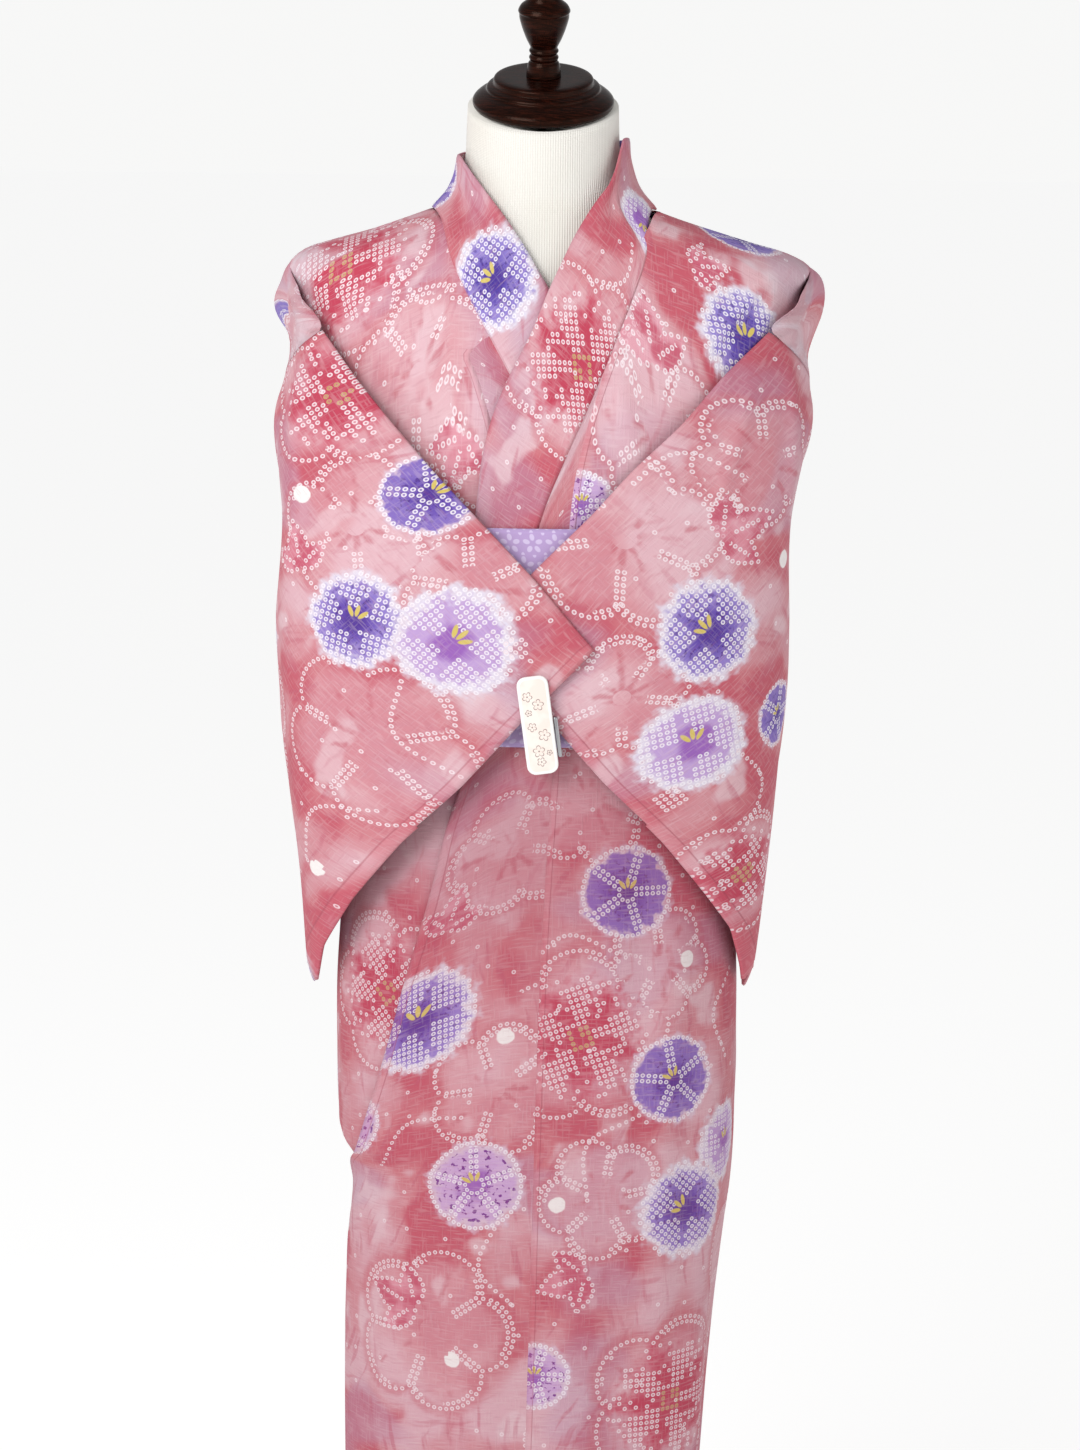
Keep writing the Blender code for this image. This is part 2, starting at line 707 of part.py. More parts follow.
def collar_front(side):
    """Pairs of (seam, edge) points of one front of the collar, from its end up to the neck."""
    lift = LAP if side == OVER else 0.0
    heights = [z for z in reversed(levels(side)) if z >= COLLAR_END_Z]
    edge_rows = COLLAR_EDGE[side]
    bottom, top = heights[0], heights[-1]
    pairs = []
    for z in heights:
        seam = seam_turn(side, COLLAR_SEAM[side], z)
        seam -= side * gap_turn(z, seam)
        share = (z - bottom) / (top - bottom)
        edge_z = blend(edge_rows["z"][0], edge_rows["z"][-1], share ** 0.92)
        edge = turn_at(SKIN, edge_z, read(edge_rows, "x", edge_z), lift)
        rising = ease((z - 1.36) / 0.044)
        pairs.append(((seam, z + NECK_RISE * rising), (edge, edge_z), lift * (1 - 0.5 * rising)))
    return pairs


def collar_band(name, finish):
    """One folded band from the under front, round the neck, to the over front."""
    under, over = collar_front(UNDER), collar_front(OVER)
    rows = []
    for (seam, z), (edge, edge_z), lift in under:
        rows.append(collar_row(seam, z, edge, edge_z, lift - SINK * ease((1.25 - z) / 0.06)))
    neck_turns = [-90.0 - 22.5 * step for step in range(9)]
    for turn in neck_turns:
        share = (-90.0 - turn) / HALF_TURN
        lift = blend(under[-1][2], over[-1][2], share)
        edge_z = blend(under[-1][1][1], over[-1][1][1], share)
        rows.append(collar_row(turn, NECK_Z + NECK_RISE, turn, edge_z, lift))
    for (seam, z), (edge, edge_z), lift in reversed(over):
        rows.append(collar_row(seam - 360.0, z, edge - 360.0, edge_z, lift))
    shell = bmesh.new()
    add_grid(shell, rows[::-1])
    return cloth_object(name, shell, COLLAR_CLOTH, finish)


def collar_row(seam, z, edge, edge_z, lift):
    points = []
    for cell in range(COLLAR_CELLS + 1):
        share = cell / COLLAR_CELLS
        turn, height = blend(seam, edge, share), blend(z, edge_z, share)
        points.append(ring_point(SKIN, height, turn, lift))
    return points


# ---------------------------------------------------------------- sleeves and belt
def sleeve(side, name, finish):
    """A bag of two layers: folded at the top, sewn at the bottom and under the cuff opening."""
    shell = bmesh.new()
    downs = [*ARMHOLE_STEPS, *SLEEVE_BELOW]
    layers = []
    for depth, way in ((0.0, -side), (LAYER, side)):
        rows = []
        for down in downs:
            points = [sleeve_point(side, SEAM / 2, down, depth)]
            points += [sleeve_point(side, along, down, depth) for along in SLEEVE_ACROSS[1:]]
            rows.append(points[::way])
        vertices = add_grid(shell, rows, "falling" if way == 1 else "rising")
        layers.append([row[::way] for row in vertices])
    outer, inner = layers
    top = [(0, column) for column in range(len(SLEEVE_ACROSS))]
    bottom = [(len(downs) - 1, column) for column in range(len(SLEEVE_ACROSS))]
    cuff = [(row, len(SLEEVE_ACROSS) - 1) for row, down in enumerate(downs) if down > CUFF_OPENING]
    add_rim(shell, outer, inner, top)
    add_rim(shell, outer, inner, cuff[:-1] + bottom[::-1])
    bmesh.ops.recalc_face_normals(shell, faces=shell.faces)
    return cloth_object(name, shell, CLOTH, finish)


def add_rim(shell, outer, inner, places):
    """A rounded fold that joins the two layers along a run of their edge."""
    last_row, last_column = len(outer) - 1, len(outer[0]) - 1
    folds = []
    for row, column in places:
        toward_row = min(max(row + (1 if row == 0 else -1 if row == last_row else 0), 0), last_row)
        toward_column = column - 1 if column == last_column and row != 0 else column
        middle = (outer[row][column].co + inner[row][column].co) / 2
        inside = (outer[toward_row][toward_column].co + inner[toward_row][toward_column].co) / 2
        folds.append(shell.verts.new(middle + (middle - inside).normalized() * LAYER / 2))
    for index in range(len(places) - 1):
        (row, column), (next_row, next_column) = places[index], places[index + 1]
        for layer in (outer, inner):
            a, b = layer[row][column], layer[next_row][next_column]
            shell.faces.new((a, b, folds[index + 1], folds[index]))


def belt(name, finish):
    """A band wound once round the waist, its end lapping its start at the back."""
    reach = HALF_TURN + BELT_END_TURN
    rows = []
    for row in range(BELT_ROWS + 1):
        z = blend(BELT_TOP_Z, BELT_BOTTOM_Z, row / BELT_ROWS)
        points = []
        for column in range(BELT_COLUMNS + 1):
            turn = blend(-reach, reach, column / BELT_COLUMNS)
            lap = ease((turn - (HALF_TURN - 60.0)) / (60.0 - BELT_END_TURN))
            points.append(ring_point(SKIN, z, turn, BELT_OFF + lap * BELT_LAP))
        rows.append(points)
    shell = bmesh.new()
    add_grid(shell, rows)
    return cloth_object(name, shell, BELT_CLOTH, finish)


# ---------------------------------------------------------------- dress form and clip
def form_torso(name, finish):
    """A smooth limbless torso with a neck, closed at both ends."""
    heights = list(np.linspace(TORSO_BOTTOM_Z, 1.30, 12)) + [1.345, 1.362, 1.376, 1.389, 1.402]
    heights += [1.420, 1.445, CAP_BOTTOM_Z - SEAM]
    turns = [360.0 * column / FORM_COLUMNS for column in range(FORM_COLUMNS)]
    rings = [[leaned(ring_point(FORM, float(z), turn)) for turn in turns] for z in heights]
    return loft_object(name, rings, finish)


def leaned(point):
    """A point of the form, raised or lowered so that the neck's top leans forward."""
    share = ease((point.z - NECK_LEAN_Z) / (CAP_BOTTOM_Z - NECK_LEAN_Z))
    return point + Vector((0.0, 0.0, math.tan(NECK_LEAN) * point.y * share))


def set_on_neck(made, distance):
    """Stands a turned piece on the leaning neck, this far up its axis."""
    made.rotation_euler.x = NECK_LEAN
    made.location.y = -math.sin(NECK_LEAN) * distance
    made.location.z = CAP_BOTTOM_Z + math.cos(NECK_LEAN) * distance


def stand(wood, metal):
    """The turned neck cap and finial, the pole and the round base."""
    cap = [(0.0, 0.0262), (0.0360, 0.0262), (0.0410, 0.0245), (0.0422, 0.0200), (0.0470, 0.0172)]
    cap += [(0.0490, 0.0140), (0.0550, 0.0105), (0.0590, 0.0062), (0.0590, 0.0034)]
    cap += [(0.0565, 0.0), (0.0, 0.0)]
    set_on_neck(turned_object("neck_cap", cap, wood, 32), 0.0)
    finial = [(0.0, 0.1030), (0.0090, 0.1015), (0.0150, 0.0960), (0.0175, 0.0880), (0.0150, 0.0797)]
    finial += [(0.0115, 0.0725), (0.0134, 0.0652), (0.0205, 0.0588), (0.0216, 0.0550)]
    finial += [(0.0208, 0.0500), (0.0184, 0.0415), (0.0145, 0.0312), (0.0112, 0.0240)]
    finial += [(0.0123, 0.0213), (0.0110, 0.0186), (0.0123, 0.0158), (0.0114, 0.0133)]
    finial += [(0.0130, 0.0105), (0.0142, 0.0040), (0.0145, 0.0), (0.0, 0.0)]
    set_on_neck(turned_object("finial", finial, wood, 20), cap[0][1] + SEAM)
    base = [(0.0, BASE_HEIGHT), (0.040, BASE_HEIGHT), (0.120, 0.026), (0.160, 0.019)]
    base += [(BASE_RADIUS, 0.012), (BASE_RADIUS, 0.003), (BASE_RADIUS - 0.003, 0.0), (0.0, 0.0)]
    turned_object("base", base, wood, 40)
    low, high = BASE_HEIGHT + SEAM, TORSO_BOTTOM_Z - SEAM
    pole = [(0.0, high), (POLE_RADIUS, high), (POLE_RADIUS, low), (0.0, low)]
    turned_object("pole", pole, metal, 24)


def clip(cream, metal):
    """A sprung clip with its hinge at the foot; its jaws hold both sleeves' lower edges."""
    outer_layer = read(WRAP, "front", CLIP_CENTRE.z) + UNDER_SLEEVE_LIFT
    front_y = -(outer_layer + CLIP_FACE + 0.0002)
    back_y = -(read(SKIN, "front", CLIP_CENTRE.z) + BELT_OFF + 0.0030)
    turned = Matrix.Rotation(-CLIP_TILT, 4, "Y")

    def place(made, x, y, z):
        made.matrix_world = (
            Matrix.Translation(Vector((CLIP_CENTRE.x, y, CLIP_CENTRE.z)))
            @ turned
            @ Matrix.Translation(Vector((x, 0.0, z)))
        )

    face = box_object("clip_face", (CLIP_WIDTH, CLIP_FACE, CLIP_LENGTH), cream, 0.0012)
    place(face, 0.0, front_y, 0.0)
    back = box_object("clip_back", (0.020, CLIP_BACK, CLIP_LENGTH - 0.010), metal, 0.0005)
    place(back, 0.0, back_y, -0.003)
    near, far = front_y + CLIP_FACE / 2 + SEAM, back_y - CLIP_BACK / 2 - SEAM
    spring = box_object("clip_spring", (0.018, far - near, 0.016), metal, 0.002)
    place(spring, 0.0015, (near + far) / 2, -0.028)
    lever = box_object("clip_lever", (0.0036, 0.0060, 0.034), metal, 0.0008)
    place(lever, 0.0152, front_y + 0.0030, -0.012)


# ---------------------------------------------------------------- the whole
COLLECTION = bpy.data.collections.new("yukata_on_dress_form")


def build():
    clear_scene()
    bpy.context.scene.collection.children.link(COLLECTION)
    rose = material("rose_cotton", (0.80, 0.38, 0.44), 0.85)
    lavender = material("lavender_cotton", (0.50, 0.42, 0.76), 0.80)
    jersey = material("white_jersey", (0.86, 0.84, 0.79), 0.90)
    wood = material("dark_wood", (0.055, 0.018, 0.012), 0.28)
    metal = material("black_metal", (0.04, 0.04, 0.045), 0.35, 1.0)
    steel = material("clip_steel", (0.60, 0.60, 0.62), 0.30, 1.0)
    cream = material("clip_enamel", (0.92, 0.86, 0.80), 0.25)
    body_panels(UNDER, "body_right", rose)
    body_panels(OVER, "body_left", rose)
    okumi_panel(UNDER, "okumi_right", rose)
    okumi_panel(OVER, "okumi_left", rose)
    collar_band("collar", rose)
    sleeve(UNDER, "sleeve_right", rose)
    sleeve(OVER, "sleeve_left", rose)
    belt("belt", lavender)
    form_torso("form_torso", jersey)
    stand(wood, metal)
    clip(cream, steel)


build()
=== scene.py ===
"""The looks of a cotton yukata robe that hangs on a limbless dress form.

Metres, +Z up; the robe faces -Y. "turn" is an angle round the body in degrees: 0 is the middle
of the front, 90 the +X side and 180 the middle of the back. Every cloth piece is a thin shell
on the form of its CAD solid, worked out from the same tables, with creases, hems and print.
"""
import math

import bmesh
import bpy
import numpy as np
from mathutils import Matrix, Vector


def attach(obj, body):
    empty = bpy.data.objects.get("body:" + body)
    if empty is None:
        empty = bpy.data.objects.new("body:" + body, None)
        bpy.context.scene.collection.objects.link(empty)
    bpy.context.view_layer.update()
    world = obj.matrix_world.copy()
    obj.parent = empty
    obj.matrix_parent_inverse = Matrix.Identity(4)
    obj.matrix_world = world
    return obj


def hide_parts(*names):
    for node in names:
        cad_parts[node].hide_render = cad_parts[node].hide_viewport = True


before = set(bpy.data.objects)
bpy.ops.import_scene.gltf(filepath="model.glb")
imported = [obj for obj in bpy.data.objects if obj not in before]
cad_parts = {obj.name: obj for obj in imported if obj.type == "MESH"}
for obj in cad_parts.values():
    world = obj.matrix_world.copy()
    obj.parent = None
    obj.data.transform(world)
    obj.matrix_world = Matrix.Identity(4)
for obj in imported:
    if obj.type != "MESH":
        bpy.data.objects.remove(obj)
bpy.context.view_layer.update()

# ---- sizes, as the CAD has them
CLOTH, COLLAR_CLOTH, BELT_CLOTH = 0.0010, 0.0016, 0.0014       # thickness of the walls
SEAM = 0.0004             # gap between pieces that touch
LAYER = 0.0026            # from one layer of cloth to the next
LAP = 0.0038              # how far the over front stands off the skin
SIDE_LAP = 0.0034         # and how much farther round the sides
SINK = 0.0014             # how far in the hidden lap of the under front lies
SHOULDER_Z = 1.360
HEM_Z = 0.080
NECK_Z = 1.404
ARMHOLE_LENGTH = 0.184
SLEEVE_WIDTH = 0.348
SLEEVE_LENGTH = 0.450
SLEEVE_DROP = 0.070
BELT_TOP_Z = 1.150
BELT_BOTTOM_Z = 0.968
COLLAR_END_Z = 1.020
TORSO_BOTTOM_Z = 0.720
CAP_BOTTOM_Z = 1.490
NECK_LEAN = math.radians(18.0)
NECK_LEAN_Z = 1.400
BASE_HEIGHT = 0.034
BASE_RADIUS = 0.170
POLE_RADIUS = 0.0125
FALL = 1.02               # height lost for each metre down a sleeve's side fold
SLEEVE_LIFT = 2 * LAYER   # the sleeve's outer layer off the skin, beside its seam
PULL = 0.72               # how much of the way it is drawn to there
TUCK = LAYER + 0.0028     # how far under that layer the body panel ends
OKUMI_TOP_Z = 1.295
NECK_RISE = 0.0016
CUFF_OPENING = 0.230
BELT_OFF = LAP + 0.0046   # the belt off the skin
BELT_LAP = LAYER + 0.0002     # its upper end off its lower one
BELT_END_TURN = 24.0      # how far each end passes the middle of the back
UNDER_SLEEVE_LIFT = 2.3 * LAYER       # the sleeve that lies over the other, off the wrap
ALLOWANCE = 0.0060        # cloth that a seam hides, under the collar or the panel beside
TUCK_UNDER = 0.0013       # how far in it lies
OVER, UNDER = 1, -1
SIDE_TURN, HALF_TURN = 90.0, 180.0
SQRT_HALF = math.sqrt(0.5)

NECK_LEVELS = (1.404, 1.396, 1.387, 1.378, 1.370, 1.360, 1.338)
WAIST_LEVELS = (1.150, 1.110, 1.060, 1.020, 0.965)
SKIRT_LEVELS = (0.930, 0.895, 0.850, 0.800, 0.745, 0.690, 0.632, 0.608, 0.588, 0.565)
LOW_LEVELS = (0.530, 0.470, 0.400, 0.300, 0.190, HEM_Z)
TIP_ROW = 5               # the row at the shoulder's tip, where the armhole starts
ARMHOLE_STEPS = (0.0, 0.0233, 0.0467, 0.070, 0.098, 0.127, 0.156, ARMHOLE_LENGTH)
TIP_INSETS = (0.0, 0.012, 0.012, 0.012, 0.010, 0.005)
FRONT_CELLS, BACK_CELLS, FLAP_CELLS, OKUMI_CELLS, COLLAR_CELLS = 7, 8, 2, 6, 3


def table(columns, *rows):
    """A small table as arrays, one for each named column."""
    return {name: np.array(values) for name, values in zip(columns.split(), zip(*rows))}


FORM = table(
    "z plus minus front back power",
    (0.72, 0.146, 0.146, 0.098, 0.098, 2.3), (0.79, 0.158, 0.158, 0.106, 0.106, 2.3),
    (0.86, 0.156, 0.156, 0.104, 0.106, 2.3), (0.95, 0.14, 0.14, 0.099, 0.096, 2.3),
    (1.05, 0.126, 0.126, 0.095, 0.084, 2.3), (1.13, 0.13, 0.13, 0.099, 0.084, 2.3),
    (1.2, 0.148, 0.148, 0.11, 0.09, 2.3), (1.26, 0.168, 0.168, 0.099, 0.094, 2.2),
    (1.31, 0.184, 0.184, 0.087, 0.092, 2.1), (1.345, 0.186, 0.186, 0.08, 0.09, 2.0),
    (1.362, 0.168, 0.168, 0.076, 0.087, 2.0), (1.376, 0.138, 0.138, 0.071, 0.083, 2.0),
    (1.389, 0.108, 0.108, 0.066, 0.077, 2.0), (1.402, 0.086, 0.086, 0.0635, 0.07, 2.0),
    (1.42, 0.072, 0.072, 0.063, 0.065, 2.0), (1.44, 0.065, 0.065, 0.063, 0.0635, 2.0),
    (1.49, 0.063, 0.063, 0.063, 0.063, 2.0),
)
SKIN = table(
    "z plus minus front back power",
    (0.08, 0.142, 0.143, 0.098, 0.1, 2.3), (0.35, 0.1504, 0.15, 0.103, 0.105, 2.3),
    (0.47, 0.158, 0.1505, 0.107, 0.108, 2.3), (0.53, 0.164, 0.1505, 0.109, 0.11, 2.3),
    (0.57, 0.169, 0.148, 0.11, 0.111, 2.3), (0.588, 0.1705, 0.153, 0.111, 0.112, 2.3),
    (0.602, 0.1715, 0.165, 0.111, 0.112, 2.3), (0.63, 0.1725, 0.1685, 0.112, 0.113, 2.3),
    (0.7, 0.1755, 0.17, 0.113, 0.114, 2.3), (0.745, 0.1755, 0.17, 0.113, 0.115, 2.3),
    (0.8, 0.173, 0.167, 0.113, 0.115, 2.3), (0.86, 0.168, 0.163, 0.112, 0.113, 2.3),
    (0.92, 0.158, 0.156, 0.11, 0.108, 2.3), (0.965, 0.148, 0.148, 0.108, 0.101, 2.3),
    (1.05, 0.141, 0.141, 0.107, 0.094, 2.3), (1.15, 0.145, 0.144, 0.1105, 0.094, 2.3),
    (1.17, 0.156, 0.154, 0.113, 0.097, 2.3), (1.2, 0.172, 0.168, 0.117, 0.099, 2.3),
    (1.25, 0.196, 0.188, 0.112, 0.101, 2.2), (1.3, 0.211, 0.2, 0.1, 0.1, 2.1),
    (1.34, 0.219, 0.207, 0.09, 0.097, 2.0), (1.36, 0.224, 0.21, 0.083, 0.094, 2.0),
    (1.37, 0.206, 0.198, 0.08, 0.092, 2.0), (1.378, 0.178, 0.174, 0.0775, 0.0895, 2.0),
    (1.387, 0.148, 0.142, 0.074, 0.086, 2.0), (1.396, 0.119, 0.116, 0.071, 0.081, 2.0),
    (1.404, 0.096, 0.094, 0.069, 0.077, 2.0), (1.42, 0.08, 0.079, 0.069, 0.073, 2.0),
    (1.44, 0.0715, 0.0715, 0.069, 0.0705, 2.0), (1.47, 0.069, 0.069, 0.069, 0.0695, 2.0),
)
WRAP = table(
    "z plus minus front back power",
    (0.73, 0.186, 0.1945, 0.122, 0.125, 2.3), (0.76, 0.1905, 0.1965, 0.123, 0.125, 2.3),
    (0.83, 0.198, 0.201, 0.124, 0.124, 2.3), (0.9, 0.2045, 0.208, 0.125, 0.122, 2.3),
    (0.99, 0.2105, 0.2155, 0.126, 0.116, 2.3), (1.07, 0.214, 0.22, 0.126, 0.114, 2.3),
    (1.17, 0.225, 0.224, 0.126, 0.113, 2.3), (1.22, 0.2275, 0.2215, 0.126, 0.112, 2.3),
    (1.267, 0.2265, 0.214, 0.119, 0.11, 2.2), (1.293, 0.2225, 0.2095, 0.112, 0.108, 2.1),
    (1.309, 0.2215, 0.211, 0.108, 0.107, 2.1), (1.33, 0.228, 0.2135, 0.102, 0.104, 2.0),
    (1.36, 0.232, 0.214, 0.09, 0.099, 2.0),
)
FLAP_EDGE = {
    UNDER: table(
        "down x z",
        (0.0, -0.2126, 1.358), (0.0451, -0.1855, 1.31), (0.0846, -0.1526, 1.269),
        (0.1549, -0.0887, 1.197), (0.2397, -0.0064, 1.111), (0.2956, 0.0457, 1.051),
        (0.3627, -0.0134, 0.99), (0.4199, -0.0618, 0.936), (0.4754, -0.1127, 0.887),
        (0.5271, -0.1545, 0.834), (0.5675, -0.1806, 0.786), (0.6, -0.191, 0.739),
        (0.63, -0.1915, 0.732),
    ),
    OVER: table(
        "down x z",
        (0.0, 0.2298, 1.352), (0.0477, 0.1922, 1.309), (0.0867, 0.1528, 1.274),
        (0.1245, 0.1176, 1.235), (0.1643, 0.0773, 1.197), (0.1988, 0.0445, 1.161),
        (0.249, -0.0064, 1.11), (0.2956, -0.0473, 1.057), (0.3682, 0.0132, 0.989),
        (0.417, 0.0543, 0.942), (0.4757, 0.1072, 0.889), (0.5222, 0.145, 0.841),
        (0.5529, 0.1678, 0.807), (0.5808, 0.1781, 0.77), (0.6, 0.1833, 0.74),
        (0.63, 0.1838, 0.733),
    ),
}
COLLAR_SEAM = {
    UNDER: table(
        "z x",
        (1.02, 0.06), (1.154, 0.04), (1.2, 0.018), (1.249, -0.01), (1.314, -0.0468),
        (1.36, -0.071), (1.396, -0.086), (1.404, -0.0925),
    ),
    OVER: table(
        "z x",
        (1.02, -0.03), (1.156, 0.0014), (1.195, 0.0159), (1.238, 0.0345), (1.31, 0.0644),
        (1.376, 0.0877), (1.396, 0.0925), (1.404, 0.0945),
    ),
}
COLLAR_EDGE = {
    UNDER: table(
        "z x",
        (1.02, 0.1), (1.16, 0.088), (1.25, 0.058), (1.31, 0.027), (1.344, 0.006), (1.384, -0.0186),
        (1.405, -0.0337), (1.425, -0.0498), (1.449, -0.069),
    ),
    OVER: table(
        "z x",
        (1.02, -0.06), (1.154, -0.052), (1.217, -0.0449), (1.26, -0.0313), (1.31, -0.0069),
        (1.344, 0.0068), (1.387, 0.0279), (1.407, 0.0384), (1.43, 0.0564), (1.464, 0.0685),
    ),
}
OKUMI_SEAM = table(
    "z x",
    (0.08, -0.012), (0.35, -0.003), (0.6, 0.0015), (0.78, 0.0055), (0.943, 0.0136),
    (1.156, 0.0255), (1.195, 0.03), (1.377, 0.0886),
)
OVER_FRONT_EDGE = table(
    "z turn",
    (0.08, -106.0), (0.35, -100.0), (0.47, -95.0), (0.55, -88.0), (0.587, -76.0), (0.608, -58.0),
    (0.632, -52.6), (0.661, -47.0), (0.7, -42.3), (0.765, -34.4), (0.805, -30.7), (0.852, -26.9),
    (0.894, -24.1), (0.934, -20.2), (0.96, -18.0), (1.02, -7.0),
)
UNDER_FRONT_EDGE = table(
    "z turn",
    (0.08, 62.0), (0.6, 50.0), (0.94, 36.0), (1.02, 16.0),
)


# ---- curves and sections, for arrays
def read(rows, column, at, key="z"):
    """A column of a table at many places, on a smooth curve that never overshoots its rows."""
    places, values = rows[key], rows[column]
    at = np.clip(at, places[0], places[-1])
    index = np.clip(np.searchsorted(places, at) - 1, 0, len(places) - 2)
    slopes = np.diff(values) / np.diff(places)
    before, after = slopes[:-1], slopes[1:]
    same_way = before * after > 0
    total = np.where(same_way, before + after, 1.0)
    inner = np.where(same_way, 2 * before * after / total, 0.0)
    tangents = np.concatenate((slopes[:1], inner, slopes[-1:]))
    width = np.diff(places)[index]
    return between(values, tangents, index, width, (at - places[index]) / width)


def between(values, tangents, index, width, t):
    """The cubic curve a share t of the way from the value at an index to the next."""
    return (
        values[index] * (1 + 2 * t) * (1 - t) ** 2
        + tangents[index] * width * t * (1 - t) ** 2
        + values[index + 1] * t * t * (3 - 2 * t)
        + tangents[index + 1] * width * t * t * (t - 1)
    )


def ease(value):
    """0 below 0, 1 above 1 and a smooth step between."""
    value = np.clip(value, 0.0, 1.0)
    return value * value * (3 - 2 * value)


def ramp(value, start, width):
    """0 before start, 1 beyond start by the width and a smooth step between."""
    return ease((value - start) / width)


def blend(a, b, share):
    return a + (b - a) * share


def unit(vectors):
    return vectors / np.linalg.norm(vectors, axis=-1, keepdims=True)


def ring_point(rows, z, turn, out=0.0):
    """Points of sections at these heights and turns, moved out by a distance."""
    z, turn, out = np.broadcast_arrays(np.asarray(z, float), turn, out)
    sine, cosine = np.sin(np.radians(turn)), np.cos(np.radians(turn))
    width = np.where(sine > 0, read(rows, "plus", z), read(rows, "minus", z)) + out
    depth = np.where(cosine > 0, read(rows, "front", z), read(rows, "back", z)) + out
    power = 2 / read(rows, "power", z)
    x = np.copysign(width * np.abs(sine) ** power, sine)
    y = -np.copysign(depth * np.abs(cosine) ** power, cosine)
    return np.stack((x, y, z), -1)


def turn_at(rows, z, x, out=0.0):
    """The turn at which the front of a section passes through x."""
    width = np.where(np.asarray(x) > 0, read(rows, "plus", z), read(rows, "minus", z)) + out
    share = np.minimum(np.abs(x) / width, 0.9999)
    return np.copysign(np.degrees(np.arcsin(share ** (read(rows, "power", z) / 2))), x)


def turn_along(rows, z, out, start, end, share=None, length=None):
    """The turn a share or a length of the way along sections between two turns."""
    goal = share if length is None else length
    z, out, start, end, goal = np.broadcast_arrays(np.atleast_1d(z), out, start, end, goal)
    steps = 40
    turns = start[..., None] + (end - start)[..., None] * np.linspace(0.0, 1.0, steps + 1)
    points = ring_point(rows, z[..., None], turns, out[..., None])
    walked = np.cumsum(np.linalg.norm(np.diff(points, axis=-2), axis=-1), axis=-1)
    walked = np.concatenate((np.zeros_like(walked[..., :1]), walked), axis=-1)
    if length is None:
        goal = goal * walked[..., -1]
    index = np.clip((walked <= goal[..., None]).sum(-1) - 1, 0, steps - 1)
    before = np.take_along_axis(walked, index[..., None], -1)[..., 0]
    after = np.take_along_axis(walked, index[..., None] + 1, -1)[..., 0]
    part = np.clip((goal - before) / np.maximum(after - before, 1e-9), 0.0, 1.0)
    return start + (end - start) * (index + part) / steps


# ---- creases
def crease(u, v, rows):
    """Heights of listed creases at cloth places: each a soft ridge between two places."""
    bow, past_end, fading = 0.12, 0.15, 0.5
    height = np.zeros(np.broadcast(u, v).shape)
    for u1, v1, u2, v2, wide, high in zip(*rows.values()):
        length = math.hypot(u2 - u1, v2 - v1)
        along = ((u - u1) * (u2 - u1) + (v - v1) * (v2 - v1)) / length ** 2
        aside = ((u - u1) * (v2 - v1) - (v - v1) * (u2 - u1)) / length
        bowed = aside + bow * length * (along - 0.5) ** 2
        ends = ramp(along, -past_end, fading) * ease((1 + past_end - along) / fading)
        height += high * ends * np.exp(-((bowed / wide) ** 2))
    return height


SKIRT_CREASES = table(
    "u1 v1 u2 v2 wide high",
    (0.12, 0.93, 0.1, 0.35, 0.02, 0.004), (0.06, 0.9, 0.075, 0.5, 0.016, 0.0026),
    (0.17, 0.78, 0.15, 0.2, 0.024, 0.005), (0.225, 0.7, 0.24, 0.12, 0.026, 0.006),
    (0.03, 0.52, 0.05, 0.12, 0.022, 0.003), (-0.05, 0.6, -0.035, 0.14, 0.018, 0.0026),
    (-0.105, 0.88, -0.1, 0.62, 0.016, 0.003), (-0.13, 0.52, -0.12, 0.12, 0.022, 0.004),
    (-0.185, 0.6, -0.2, 0.14, 0.026, 0.006), (0.3, 0.84, 0.285, 0.22, 0.024, 0.005),
    (0.35, 0.6, 0.365, 0.1, 0.026, 0.005), (-0.3, 0.84, -0.29, 0.3, 0.024, 0.005),
    (-0.35, 0.5, -0.365, 0.1, 0.026, 0.005),
)
SHOULDER_CREASES = table(
    "u1 v1 u2 v2 wide high",
    (0.19, 1.352, 0.125, 1.285, 0.007, 0.003), (0.205, 1.345, 0.16, 1.262, 0.008, 0.0026),
    (0.15, 1.35, 0.105, 1.315, 0.006, 0.0018), (-0.185, 1.352, -0.12, 1.3, 0.007, 0.0028),
    (-0.195, 1.345, -0.15, 1.27, 0.008, 0.0026), (-0.12, 1.33, -0.075, 1.25, 0.008, 0.0018),
    (0.06, 1.29, 0.08, 1.2, 0.009, 0.002), (0.3, 1.3, 0.33, 1.19, 0.013, 0.0032),
    (-0.3, 1.31, -0.34, 1.19, 0.013, 0.0032), (0.36, 1.27, 0.3, 1.18, 0.014, 0.0026),
)
